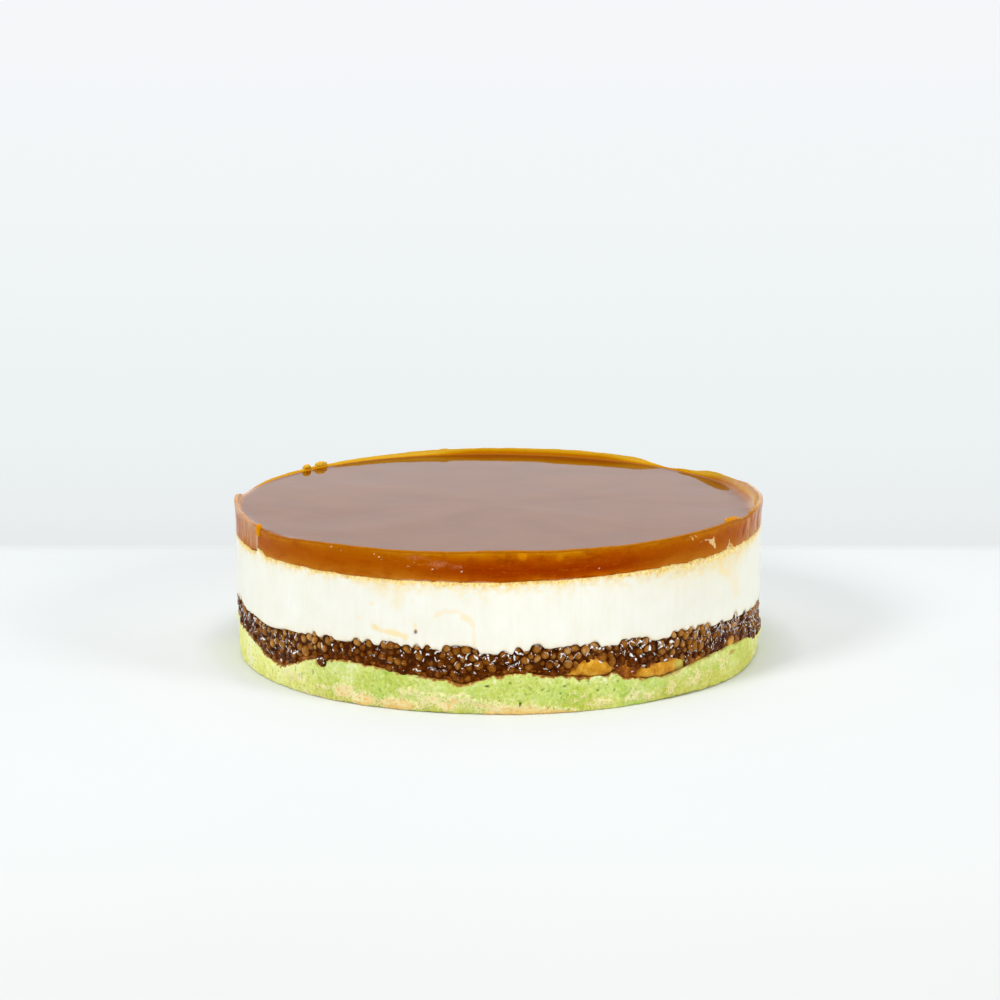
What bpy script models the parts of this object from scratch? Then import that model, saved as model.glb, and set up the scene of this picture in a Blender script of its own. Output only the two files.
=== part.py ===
"""A round cendol cake, 178 mm across and about 53 mm tall, set in a ring in four layers.

From the bottom: a green pandan sponge, a layer of sago pearls in dark palm sugar, a white coconut
mousse, and a poured palm sugar caramel whose edge climbed the ring and set as a raised rim.
Every layer runs right through the cake. Metres, +Z up, origin at the centre of the flat base,
-Y is the front. Azimuth is 0 at the front and grows towards +X.
"""

import math

import bpy

# ---------------------------------------------------------------- driving sizes (metres)
MM = 0.001
RING_RADIUS = 88.9 * MM  # the cake ring, 7 inches across
SPONGE_HEIGHT = 12.0 * MM  # usual level of the sponge's top at the side
PEARLS_TOP = 21.6 * MM  # usual level where the pearls end and the mousse begins
MOUSSE_TOP = 43.5 * MM  # level of the mousse's top at the middle
CARAMEL_FACE = 49.7 * MM  # level of the flat caramel surface at the middle
RIM_TOP = 52.3 * MM  # usual level of the caramel rim's lip
RIM_LIP = 1.3 * MM  # thickness of the lip at its top
RIM_FADE = 1.1 * MM  # how fast the rim's inner slope falls away from the lip
LIP_FLARE = 0.35 * MM  # how far the lip stands out past the ring
LAYER_GAP = 0.3 * MM  # clearance between touching layers
SEGMENTS = 96  # facets round the cake

# How the set layers lean: rise towards +X, and rise towards the front
MOUSSE_LEAN = (1.55 * MM, 0.1 * MM)
RIM_LEAN = (1.35 * MM, 1.0 * MM)
FACE_LEAN = (-0.7 * MM, 0.5 * MM)

# Waves of a layer's edge: (azimuth in degrees, half width in degrees, height in mm)
SPONGE_WAVES = (
    (-84, 9, 2.0),
    (-55, 8, -4.6),
    (-33, 10, 2.4),
    (-7, 4, -1.6),
    (4, 8, 1.6),
    (35, 12, -3.6),
    (79, 9, -3.6),
    (113, 14, 1.4),
    (141, 10, -2.8),
    (167, 16, 1.8),
    (-166, 8, -2.4),
    (-140, 18, 1.6),
    (-109, 10, -2.2),
)
PEARL_WAVES = (
    (-58, 11, -4.0),
    (-30, 12, -0.3),
    (0, 5, -1.1),
    (12, 7, 0.8),
    (75, 8, -2.4),
    (128, 16, -1.6),
    (175, 10, 0.8),
    (-148, 12, -2.2),
    (-104, 9, 0.7),
)
RIM_WAVES = (
    (-91, 5, 1.9),
    (-76, 9, 0.7),
    (-55, 11, -1.3),
    (0, 8, 0.5),
    (30, 12, -0.35),
    (59, 4, 0.9),
    (67, 4, -0.6),
    (97, 6, -0.9),
    (115, 14, -1.2),
    (137, 8, -3.0),
    (152, 7, -0.6),
    (-166, 20, 0.5),
    (-104, 8, -0.8),
)

# Two lumps of caramel that set on the rim at the back, and the ridge left by the seam of the
# ring's lining: (azimuth, distance inside the lip in mm, centre below the lip in mm, half sizes
# along the rim, across it and upwards in mm)
CARAMEL_LUMPS = (
    (-129.8, 1.5, 0.3, 1.4, 1.4, 1.9),
    (-134.6, 1.5, 0.3, 2.3, 1.6, 1.8),
    (-62.5, 0.8, 0.0, 0.9, 0.9, 1.7),
)


# ---------------------------------------------------------------- shape of the layers
def waves(azimuth, table):
    """Sum of smooth humps and dips round the cake, in metres."""
    total = 0.0
    for centre, width, height in table:
        away = (azimuth - centre + 180.0) % 360.0 - 180.0
        total += height * MM * math.exp(-((away / width) ** 2))
    return total


def lean(azimuth, radius, rise):
    """Height of a plane that leans, at a place on the cake."""
    a = math.radians(azimuth)
    share = radius / RING_RADIUS
    return rise[0] * math.sin(a) * share + rise[1] * math.cos(a) * share


def sponge_top(azimuth, radius):
    share = (radius / RING_RADIUS) ** 2
    return SPONGE_HEIGHT + waves(azimuth, SPONGE_WAVES) * share


def pearls_top(azimuth, radius):
    share = (radius / RING_RADIUS) ** 2
    return PEARLS_TOP + waves(azimuth, PEARL_WAVES) * share


def mousse_top(azimuth, radius):
    return MOUSSE_TOP + lean(azimuth, radius, MOUSSE_LEAN)


def rim_top(azimuth):
    return RIM_TOP + lean(azimuth, RING_RADIUS, RIM_LEAN) + waves(azimuth, RIM_WAVES)


def caramel_top(azimuth, radius):
    """The poured face, with the slope up to the lip of the rim."""
    face = CARAMEL_FACE + lean(azimuth, radius, FACE_LEAN)
    inside = max(0.0, RING_RADIUS - RIM_LIP - radius)
    return face + (rim_top(azimuth) - face) * math.exp(-inside / RIM_FADE)


# ---------------------------------------------------------------- building
def clear_scene():
    for obj in list(bpy.data.objects):
        bpy.data.objects.remove(obj, do_unlink=True)
    for mesh in list(bpy.data.meshes):
        bpy.data.meshes.remove(mesh)


def material(name, colour, roughness, subsurface=0.0):
    mat = bpy.data.materials.new(name)
    mat.use_nodes = True
    shader = mat.node_tree.nodes["Principled BSDF"]
    shader.inputs["Base Color"].default_value = (*colour, 1.0)
    shader.inputs["Roughness"].default_value = roughness
    shader.inputs["Metallic"].default_value = 0.0
    shader.inputs["Subsurface Weight"].default_value = subsurface
    mat.diffuse_color = (*colour, 1.0)
    return mat


def turned(name, profile, collection):
    """A mesh turned from a profile of (radius, level), drawn from the axis out along the top, down
    the side and back in to the axis along the bottom."""
    mesh = bpy.data.meshes.new(name + "_profile")
    points = [(radius, 0.0, level) for radius, level in profile]
    mesh.from_pydata(points, [(i, i + 1) for i in range(len(points) - 1)], [])
    obj = bpy.data.objects.new(name, mesh)
    collection.objects.link(obj)
    screw = obj.modifiers.new("Turn", "SCREW")
    screw.axis = "Z"
    screw.angle = 2 * math.pi
    screw.steps = SEGMENTS
    screw.render_steps = SEGMENTS
    screw.use_merge_vertices = True
    screw.merge_threshold = 0.00005
    bpy.context.view_layer.update()
    graph = bpy.context.evaluated_depsgraph_get()
    solid = bpy.data.meshes.new_from_object(obj.evaluated_get(graph))
    obj.modifiers.clear()
    obj.data = solid
    solid.name = name
    bpy.data.meshes.remove(mesh)
    return obj


def shape_layer(obj, low, high, bottom, top, swell=None):
    """Moves the turned layer's points from its nominal levels low and high to its real undersides
    and tops. swell gives the side's stand-out at an azimuth and a share of the layer's height."""
    for vertex in obj.data.vertices:
        x, y, z = vertex.co
        radius = math.hypot(x, y)
        azimuth = math.degrees(math.atan2(x, -y)) if radius > 1e-6 else 0.0
        share = (z - low) / (high - low)
        under, over = bottom(azimuth, radius), top(azimuth, radius)
        z = under + (over - under) * share
        if swell is not None and radius > RING_RADIUS - 0.6 * MM:
            grown = 1.0 + swell(azimuth, share) / radius
            x, y = x * grown, y * grown
        vertex.co = (x, y, z)
    obj.data.update()


def finish(obj, mat):
    obj.data.materials.clear()
    obj.data.materials.append(mat)
    obj.data.shade_smooth()
    obj.data.set_sharp_from_angle(angle=math.radians(40))


RINGS = (0.0, 50.0, 76.0, 85.0)  # radii in mm shared by the faces between two layers


def inner_rings(level, outward=True):
    rings = [(r * MM, level) for r in RINGS]
    return rings if outward else rings[::-1]


def build_sponge(collection):
    """The sponge: a crumbly side that draws in a little at its foot, and a broken upper edge."""
    low, high = 0.0, SPONGE_HEIGHT
    edge = 0.9 * MM
    profile = inner_rings(high)
    profile += [(RING_RADIUS - edge, high), (RING_RADIUS, high - 0.12 * SPONGE_HEIGHT)]
    profile += [(RING_RADIUS, high * share) for share in (0.62, 0.34)]
    profile += [(RING_RADIUS, high * 0.1), (RING_RADIUS - 1.4 * edge, low), (0.0, low)]
    obj = turned("pandan_sponge", profile, collection)

    def drawn_in(azimuth, share):
        a = math.radians(azimuth)
        crumb = 0.25 * math.sin(7 * a + 0.8) + 0.2 * math.sin(13 * a) * math.cos(5 * a)
        return (-0.35 - 0.75 * (1.0 - share) ** 2 + crumb * 0.8) * MM

    shape_layer(obj, low, high, lambda a, r: 0.0, sponge_top, drawn_in)
    finish(obj, material("sponge_green", (0.55, 0.62, 0.19), 0.9, 0.1))
    return obj


def build_pearls(collection):
    """The pearl layer, out to its uneven outline."""
    low, high = SPONGE_HEIGHT, PEARLS_TOP
    profile = inner_rings(high)
    profile += [(RING_RADIUS - 0.9 * MM, high), (RING_RADIUS, high - 1.2 * MM)]
    profile += [(RING_RADIUS, 0.5 * (low + high)), (RING_RADIUS, low + 1.2 * MM)]
    profile += [(RING_RADIUS - 0.9 * MM, low)] + inner_rings(low, outward=False)
    obj = turned("sago_pearls", profile, collection)

    def lumpy(azimuth, share):
        a = math.radians(azimuth)
        bulge = math.sin(math.pi * share)
        return (0.18 * math.sin(23 * a) + 0.14 * math.sin(37 * a + 1.0)) * bulge * MM

    shape_layer(
        obj, low, high, lambda a, r: sponge_top(a, r) + LAYER_GAP, pearls_top, lumpy
    )
    finish(obj, material("palm_sugar_pearls", (0.1, 0.04, 0.012), 0.2, 0.1))
    return obj


def build_mousse(collection):
    """The mousse: a clean upright side as the ring left it."""
    low, high = PEARLS_TOP, MOUSSE_TOP
    profile = inner_rings(high)
    profile += [(RING_RADIUS - 0.9 * MM, high), (RING_RADIUS, high - 0.4 * MM)]
    profile += [(RING_RADIUS, 0.5 * (low + high)), (RING_RADIUS, low + 0.5 * MM)]
    profile += [(RING_RADIUS - 0.9 * MM, low)] + inner_rings(low, outward=False)
    obj = turned("coconut_mousse", profile, collection)
    shape_layer(
        obj, low, high, lambda a, r: pearls_top(a, r) + LAYER_GAP, mousse_top
    )
    finish(obj, material("coconut_white", (0.93, 0.9, 0.8), 0.5, 0.3))
    return obj


def build_caramel(collection):
    """The caramel: a flat poured face inside a rim that climbed the ring."""
    low, high = MOUSSE_TOP, RIM_TOP
    profile = [(r * MM, high) for r in (0.0, 50.0, 80.0, 84.0, 85.6, 86.5, 87.1)]
    profile += [(RING_RADIUS - RIM_LIP, high), (RING_RADIUS - 0.35 * RIM_LIP, high)]
    profile += [(RING_RADIUS, high - 0.6 * MM)]
    profile += [(RING_RADIUS, high - 3.2 * MM), (RING_RADIUS, low + 0.5 * MM)]
    profile += [(RING_RADIUS - 0.9 * MM, low)] + inner_rings(low, outward=False)
    obj = turned("caramel_top", profile, collection)

    def flare(azimuth, share):
        return LIP_FLARE * share**3

    shape_layer(
        obj, low, high, lambda a, r: mousse_top(a, r) + LAYER_GAP, caramel_top, flare
    )
    for azimuth, inside, below, along, across, up in CARAMEL_LUMPS:
        a = math.radians(azimuth)
        radius = RING_RADIUS + LIP_FLARE - inside * MM
        bpy.ops.mesh.primitive_ico_sphere_add(
            subdivisions=3,
            radius=1.0,
            location=(
                radius * math.sin(a),
                -radius * math.cos(a),
                rim_top(azimuth) - below * MM,
            ),
            rotation=(0.0, 0.0, a),
        )
        lump = bpy.context.object
        lump.scale = (along * MM, across * MM, up * MM)
        join = obj.modifiers.new("Lump", "BOOLEAN")
        join.operation = "UNION"
        join.object = lump
        bpy.context.view_layer.update()
        graph = bpy.context.evaluated_depsgraph_get()
        joined = bpy.data.meshes.new_from_object(obj.evaluated_get(graph))
        obj.modifiers.clear()
        obj.data = joined
        bpy.data.objects.remove(lump, do_unlink=True)
    obj.data.name = "caramel_top"
    finish(obj, material("palm_sugar_caramel", (0.36, 0.06, 0.003), 0.12, 0.1))
    return obj


def main():
    clear_scene()
    cake = bpy.data.collections.new("cendol_cake")
    bpy.context.scene.collection.children.link(cake)
    build_sponge(cake)
    build_pearls(cake)
    build_mousse(cake)
    build_caramel(cake)


main()
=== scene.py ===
import math

import bpy
import numpy as np
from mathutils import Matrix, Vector
from mathutils.kdtree import KDTree


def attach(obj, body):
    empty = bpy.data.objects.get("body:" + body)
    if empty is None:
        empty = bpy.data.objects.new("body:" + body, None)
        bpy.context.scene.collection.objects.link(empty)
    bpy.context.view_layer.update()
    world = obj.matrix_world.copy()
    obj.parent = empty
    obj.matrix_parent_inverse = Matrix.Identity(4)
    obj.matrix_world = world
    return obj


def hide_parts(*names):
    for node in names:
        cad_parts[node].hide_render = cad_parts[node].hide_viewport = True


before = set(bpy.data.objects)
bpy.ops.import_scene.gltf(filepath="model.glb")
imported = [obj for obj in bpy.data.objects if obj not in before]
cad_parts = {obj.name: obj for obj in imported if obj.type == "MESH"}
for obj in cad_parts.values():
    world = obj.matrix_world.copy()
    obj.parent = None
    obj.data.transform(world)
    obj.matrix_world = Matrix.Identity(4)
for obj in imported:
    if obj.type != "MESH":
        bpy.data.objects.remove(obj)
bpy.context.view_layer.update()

MM = 0.001

# ---------------------------------------------------------------- the camera
camera_data = bpy.data.cameras.new("camera")
camera_data.lens = 130.32
camera_data.sensor_width = 36.0
camera_data.clip_end = 100.0
camera = bpy.data.objects.new("camera", camera_data)
camera.location = (0.0005, -1.2, 0.308)
camera.rotation_euler = (math.radians(77.92), 0.0, 0.0)
bpy.context.scene.collection.objects.link(camera)
bpy.context.scene.camera = camera
bpy.context.scene.view_settings.view_transform = "Standard"
bpy.context.scene.view_settings.look = "None"

# ---------------------------------------------------------------- the cake's sizes, in millimetres
RADIUS = 88.9
SPONGE_HEIGHT = 12.0
PEARLS_TOP = 21.6
MOUSSE_TOP = 43.5
FACE = 49.7
RIM_TOP = 52.3
RIM_LIP = 1.3
RIM_FADE = 1.1
LIP_FLARE = 0.35
GAP = 0.3
MOUSSE_LEAN = (1.55, 0.1)
RIM_LEAN = (1.35, 1.0)
FACE_LEAN = (-0.7, 0.5)

# Waves of a layer's edge: (azimuth in degrees, half width in degrees, height in mm).
# Azimuth is 0 at the front (-Y) and grows towards +X.
SPONGE_WAVES = (
    (-84, 9, 2.0),
    (-55, 8, -4.6),
    (-33, 10, 2.4),
    (-7, 4, -1.6),
    (4, 8, 1.6),
    (35, 12, -3.6),
    (79, 9, -3.6),
    (113, 14, 1.4),
    (141, 10, -2.8),
    (167, 16, 1.8),
    (-166, 8, -2.4),
    (-140, 18, 1.6),
    (-109, 10, -2.2),
)
PEARL_WAVES = (
    (-58, 11, -4.0),
    (-30, 12, -0.3),
    (0, 5, -1.1),
    (12, 7, 0.8),
    (75, 8, -2.4),
    (128, 16, -1.6),
    (175, 10, 0.8),
    (-148, 12, -2.2),
    (-104, 9, 0.7),
)
RIM_WAVES = (
    (-91, 5, 1.9),
    (-76, 9, 0.7),
    (-55, 11, -1.3),
    (0, 8, 0.5),
    (30, 12, -0.35),
    (59, 4, 0.9),
    (67, 4, -0.6),
    (97, 6, -0.9),
    (115, 14, -1.2),
    (137, 8, -3.0),
    (152, 7, -0.6),
    (-166, 20, 0.5),
    (-104, 8, -0.8),
)
# Where the sponge under the pearls is soaked with palm sugar and rises as soft orange lobes
SOAK_WAVES = (
    (20.3, 4.2, 5.6),
    (28.0, 3.4, 4.2),
    (36.6, 5.6, 4.9),
    (60.0, 2.6, 3.4),
    (117.0, 4.5, 4.6),
    (125.0, 3.5, 3.4),
    (-150.0, 5.0, 4.8),
    (-141.0, 3.2, 3.2),
)


# ---------------------------------------------------------------- shape of the layers
def waves(azimuth, table):
    """Sum of smooth humps and dips round the cake, in millimetres."""
    total = np.zeros_like(azimuth, dtype=float)
    for centre, width, height in table:
        total += height * np.exp(-((off(azimuth, centre) / width) ** 2))
    return total


def off(azimuth, centre):
    return (azimuth - centre + 180.0) % 360.0 - 180.0


def lean(azimuth, radius, rise):
    a = np.radians(azimuth)
    share = radius / RADIUS
    return rise[0] * np.sin(a) * share + rise[1] * np.cos(a) * share


def sponge_top(azimuth, radius=RADIUS):
    return SPONGE_HEIGHT + waves(azimuth, SPONGE_WAVES) * (radius / RADIUS) ** 2


def pearls_top(azimuth, radius=RADIUS):
    return PEARLS_TOP + waves(azimuth, PEARL_WAVES) * (radius / RADIUS) ** 2


def pearls_floor(azimuth):
    """Where the pearls end at the side: on the sponge, or on its soaked lobes."""
    return sponge_top(azimuth) + waves(azimuth, SOAK_WAVES)


def mousse_top(azimuth, radius=RADIUS):
    return MOUSSE_TOP + lean(azimuth, radius, MOUSSE_LEAN)


def rim_top(azimuth):
    return RIM_TOP + lean(azimuth, RADIUS, RIM_LEAN) + waves(azimuth, RIM_WAVES)


def window(x, low, high, soft):
    """1 between low and high, 0 outside, with soft sides."""
    return smooth(low - soft, low + soft, x) * (1.0 - smooth(high - soft, high + soft, x))


def smooth(low, high, x):
    t = np.clip((x - low) / (high - low), 0.0, 1.0)
    return t * t * (3.0 - 2.0 * t)


# ---------------------------------------------------------------- noise on points, in mm
def scramble(x, y, z, seed):
    """A number from 0 to 1 for each cell of a lattice."""
    u = np.uint32
    with np.errstate(over="ignore"):
        h = (x & 0xFFFFFFFF).astype(u) * u(73856093)
        h ^= (y & 0xFFFFFFFF).astype(u) * u(19349663)
        h ^= (z & 0xFFFFFFFF).astype(u) * u(83492791)
        h ^= u((seed * 2654435761 + 97) & 0xFFFFFFFF)
        h ^= h >> u(16)
        h *= u(0x7FEB352D)
        h ^= h >> u(15)
        h *= u(0x846CA68B)
        h ^= h >> u(16)
    return h.astype(float) / 4294967295.0


def value(points, size, seed):
    """Smooth noise from -1 to 1 with cells of that size."""
    p = points / size
    cell = np.floor(p).astype(np.int64)
    f = p - cell
    f = f * f * f * (f * (f * 6.0 - 15.0) + 10.0)
    total = 0.0
    for dx in (0, 1):
        wx = f[..., 0] if dx else 1.0 - f[..., 0]
        for dy in (0, 1):
            wy = f[..., 1] if dy else 1.0 - f[..., 1]
            for dz in (0, 1):
                wz = f[..., 2] if dz else 1.0 - f[..., 2]
                total = total + wx * wy * wz * scramble(
                    cell[..., 0] + dx, cell[..., 1] + dy, cell[..., 2] + dz, seed
                )
    return total * 2.0 - 1.0


def layers(points, size, seed, octaves=3, fall=0.5):
    total, weight = 0.0, 1.0
    for k in range(octaves):
        total = total + weight * value(points + 17.3 * k, size / 2.03**k, seed + 11 * k)
        weight *= fall
    return total


def cells(points, size, seed):
    """Distance to the nearest of one random point in each cell, that to the second nearest, and a
    number from 0 to 1 that belongs to the nearest."""
    p = points / size
    cell = np.floor(p).astype(np.int64)
    best = np.full(points.shape[:-1], 9.0)
    second = np.full(points.shape[:-1], 9.0)
    tag = np.zeros(points.shape[:-1])
    for dx in (-1, 0, 1):
        for dy in (-1, 0, 1):
            for dz in (-1, 0, 1):
                c = cell + (dx, dy, dz)
                spot = [scramble(c[..., 0], c[..., 1], c[..., 2], seed + k) for k in (1, 2, 3)]
                d = np.sqrt(sum((c[..., i] + spot[i] - p[..., i]) ** 2 for i in range(3)))
                mark = scramble(c[..., 0], c[..., 1], c[..., 2], seed + 4)
                nearer = d < best
                second = np.where(nearer, best, np.minimum(second, d))
                tag = np.where(nearer, mark, tag)
                best = np.minimum(best, d)
    return best * size, second * size, tag


def round_points(azimuth, radius, z):
    a = np.radians(azimuth)
    return np.stack(
        np.broadcast_arrays(radius * np.sin(a), -radius * np.cos(a), z), axis=-1
    )


# ---------------------------------------------------------------- meshes from arrays
def make_mesh(name, points, faces, attributes=None, uv=None):
    """points in mm; faces a list of integer arrays, one for each number of corners; uv in the
    order of the faces' corners."""
    mesh = bpy.data.meshes.new(name)
    mesh.vertices.add(len(points))
    mesh.vertices.foreach_set("co", (points * MM).astype(np.float32).ravel())
    corners = np.concatenate([f.ravel() for f in faces]).astype(np.int32)
    sides = np.concatenate([np.full(len(f), f.shape[1]) for f in faces])
    starts = np.concatenate([[0], np.cumsum(sides)[:-1]]).astype(np.int32)
    mesh.loops.add(len(corners))
    mesh.loops.foreach_set("vertex_index", corners)
    mesh.polygons.add(len(sides))
    mesh.polygons.foreach_set("loop_start", starts)
    mesh.polygons.foreach_set("use_smooth", np.ones(len(sides), bool))
    if uv is not None:
        layer = mesh.uv_layers.new(name="OFBake")
        layer.data.foreach_set("uv", uv.astype(np.float32).ravel())
    mesh.update(calc_edges=True)
    for key, values in (attributes or {}).items():
        made = mesh.attributes.new(key, "FLOAT", "POINT")
        made.data.foreach_set("value", np.asarray(values, np.float32).ravel())
    obj = bpy.data.objects.new(name, mesh)
    bpy.context.scene.collection.objects.link(obj)
    return obj


def closed_shell(name, rows, attributes, sections, top, bottom):
    """A closed body from rows of points (m, n, 3) that run from the middle of the top outwards,
    down the side and back in, with one more point at the middle of the top and of the bottom.
    sections says how each run of rows is laid out for baking: (first row, last row, kind, box,
    folds)."""
    m, n = rows.shape[:2]
    points = np.concatenate([rows.reshape(-1, 3), [top], [bottom]])
    j = np.arange(n)
    k = (j + 1) % n
    i = np.arange(m - 1)[:, None]
    quads = np.stack([(i + 1) * n + j, (i + 1) * n + k, i * n + k, i * n + j], -1).reshape(-1, 4)
    first = np.stack([np.full(n, m * n), j, k], -1)
    last = np.stack([np.full(n, m * n + 1), (m - 1) * n + k, (m - 1) * n + j], -1)
    quad_uv = np.zeros((m - 1, n, 4, 2))
    first_uv = np.zeros((n, 3, 2))
    last_uv = np.zeros((n, 3, 2))
    for start, end, kind, box, folds in sections:
        part = rows[start : end + 1]
        if kind == "strip":
            mid = part.mean(1)
            mid_r = np.hypot(part[..., 0], part[..., 1]).mean(1)
            length = np.concatenate(
                [[0], np.cumsum(np.hypot(np.diff(mid_r), np.diff(mid[:, 2])))]
            )
            share = length / length[-1]
            per = -(-n // folds)
            fold = j // per
            u_left = box[0] + (box[2] - box[0]) * (j - fold * per) / per
            u_right = box[0] + (box[2] - box[0]) * (j - fold * per + 1) / per
            tall = (box[3] - box[1]) / folds
            v_top = box[1] + tall * (fold + 1) - 0.004
            v_low = box[1] + tall * fold + 0.004
            for s in range(end - start):
                va = v_top + (v_low - v_top) * share[s]
                vb = v_top + (v_low - v_top) * share[s + 1]
                quad_uv[start + s] = np.stack(
                    [
                        np.stack([u_left, vb], -1),
                        np.stack([u_right, vb], -1),
                        np.stack([u_right, va], -1),
                        np.stack([u_left, va], -1),
                    ],
                    1,
                )
        else:
            reach = np.hypot(part[..., 0], part[..., 1]).max() * 1.002
            centre = np.array([(box[0] + box[2]) / 2, (box[1] + box[3]) / 2])
            half = (box[2] - box[0]) / 2
            flat = centre + part[..., :2] / reach * half
            for s in range(end - start):
                quad_uv[start + s] = np.stack(
                    [flat[s + 1][j], flat[s + 1][k], flat[s][k], flat[s][j]], 1
                )
            if start == 0:
                first_uv = np.stack([np.broadcast_to(centre, (n, 2)), flat[0][j], flat[0][k]], 1)
            if end == m - 1:
                last_uv = np.stack([np.broadcast_to(centre, (n, 2)), flat[-1][k], flat[-1][j]], 1)
    uv = np.concatenate([quad_uv.reshape(-1, 2), first_uv.reshape(-1, 2), last_uv.reshape(-1, 2)])
    full = {
        key: np.concatenate([np.asarray(v, float).ravel(), [np.mean(v[0]), np.mean(v[-1])]])
        for key, v in attributes.items()
    }
    return make_mesh(name, points, [quads, first, last], full, uv)


def unit_sphere(segments, rings):
    """Points and faces of a sphere whose first pole looks along -Y."""
    points = [(0.0, -1.0, 0.0)]
    for i in range(1, rings):
        t = math.pi * i / rings
        for j in range(segments):
            p = 2 * math.pi * j / segments
            points.append((math.sin(t) * math.cos(p), -math.cos(t), math.sin(t) * math.sin(p)))
    points.append((0.0, 1.0, 0.0))
    at = lambda i, j: 1 + i * segments + j % segments
    quads = [
        (at(i, j), at(i + 1, j), at(i + 1, j + 1), at(i, j + 1))
        for i in range(rings - 2)
        for j in range(segments)
    ]
    tris = [(0, at(0, j), at(0, j + 1)) for j in range(segments)]
    end = len(points) - 1
    tris += [(end, at(rings - 2, j + 1), at(rings - 2, j)) for j in range(segments)]
    return np.array(points), np.array(quads), np.array(tris)


def bend_round(local, azimuth, radius, z):
    """Local points (along the side, inwards, up) at a place on the cake, bent with its side."""
    az = azimuth + np.degrees(local[..., 0] / RADIUS)
    r = radius - local[..., 1]
    return az, r, z + local[..., 2]


def pressed(radius, limit, give=0.35):
    """Radii kept inside the ring's wall, which presses what reaches it flat."""
    over = np.maximum(radius - (limit - give), 0.0)
    return np.where(over > 0, limit - give + give * (1 - np.exp(-over / give)), radius)


# ---------------------------------------------------------------- material helpers
def srgb(red, green, blue):
    """A colour named in screen values, as Blender's linear one."""
    out = []
    for c in (red, green, blue):
        c /= 255.0
        out.append(c / 12.92 if c <= 0.04045 else ((c + 0.055) / 1.055) ** 2.4)
    return (*out, 1.0)


class Paint:
    """A material and short ways to build its nodes."""

    def __init__(self, name, roughness=0.5, **settings):
        self.mat = bpy.data.materials.new(name)
        self.mat.use_nodes = True
        self.nodes = self.mat.node_tree.nodes
        self.links = self.mat.node_tree.links
        self.shader = self.nodes["Principled BSDF"]
        self.shader.inputs["Roughness"].default_value = roughness
        for key, val in settings.items():
            self.shader.inputs[key.replace("_", " ")].default_value = val
        self.place = self.nodes.new("ShaderNodeTexCoord").outputs["Object"]

    def set(self, socket, source):
        if isinstance(source, bpy.types.NodeSocket):
            self.links.new(source, socket)
        elif source is not None:
            socket.default_value = source

    def to(self, name, source):
        self.set(self.shader.inputs[name], source)

    def attribute(self, name):
        node = self.nodes.new("ShaderNodeAttribute")
        node.attribute_name = name
        return node.outputs["Fac"]

    def stretched(self, scale):
        node = self.nodes.new("ShaderNodeMapping")
        self.links.new(self.place, node.inputs["Vector"])
        node.inputs["Scale"].default_value = scale
        return node.outputs["Vector"]

    def bent(self, size_mm, reach_mm):
        """The place, pushed about by noise."""
        noise = self.nodes.new("ShaderNodeTexNoise")
        self.links.new(self.place, noise.inputs["Vector"])
        noise.inputs["Scale"].default_value = 1000.0 / size_mm
        noise.inputs["Detail"].default_value = 2.0
        add = self.nodes.new("ShaderNodeVectorMath")
        add.operation = "MULTIPLY_ADD"
        self.links.new(noise.outputs["Color"], add.inputs[0])
        add.inputs[1].default_value = (reach_mm * MM,) * 3
        self.links.new(self.place, add.inputs[2])
        return add.outputs[0]

    def noise(self, size_mm, detail=2.0, rough=0.5, vector=None, distortion=0.0):
        node = self.nodes.new("ShaderNodeTexNoise")
        self.links.new(vector or self.place, node.inputs["Vector"])
        node.inputs["Scale"].default_value = 1000.0 / size_mm
        node.inputs["Detail"].default_value = detail
        node.inputs["Roughness"].default_value = rough
        node.inputs["Distortion"].default_value = distortion
        return node.outputs["Fac"]

    def voronoi(self, size_mm, feature="F1", vector=None):
        node = self.nodes.new("ShaderNodeTexVoronoi")
        node.feature = feature
        self.links.new(vector or self.place, node.inputs["Vector"])
        node.inputs["Scale"].default_value = 1000.0 / size_mm
        return node.outputs["Distance"]

    def ramp(self, fac, stops, kind="LINEAR"):
        node = self.nodes.new("ShaderNodeValToRGB")
        node.color_ramp.interpolation = kind
        points = node.color_ramp.elements
        while len(points) < len(stops):
            points.new(0.5)
        for point, (at, colour) in zip(points, stops):
            point.position = at
        for point, (at, colour) in zip(points, stops):
            point.color = colour if isinstance(colour, tuple) else (colour,) * 3 + (1.0,)
        self.links.new(fac, node.inputs["Fac"])
        return node.outputs["Color"]

    def math(self, operation, a, b=None, c=None, clamp=False):
        node = self.nodes.new("ShaderNodeMath")
        node.operation = operation
        node.use_clamp = clamp
        for i, source in enumerate((a, b, c)):
            self.set(node.inputs[i], source)
        return node.outputs[0]

    def total(self, first, *parts):
        """first plus each (noise, amount), the noise taken from its middle, 0.5."""
        for source, amount in parts:
            more = self.math("MULTIPLY_ADD", source, amount, -0.5 * amount)
            first = self.math("ADD", first, more)
        return first

    def mix(self, fac, a, b, blend="MIX"):
        node = self.nodes.new("ShaderNodeMix")
        node.data_type = "RGBA"
        node.blend_type = blend
        node.clamp_result = False
        self.set(node.inputs[0], fac)
        self.set(node.inputs[6], a)
        self.set(node.inputs[7], b)
        return node.outputs[2]

    def bump(self, height, distance_mm, strength=1.0):
        node = self.nodes.new("ShaderNodeBump")
        self.set(node.inputs["Height"], height)
        node.inputs["Strength"].default_value = strength
        node.inputs["Distance"].default_value = distance_mm * MM
        self.to("Normal", node.outputs["Normal"])
        return node.outputs["Normal"]


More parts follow.
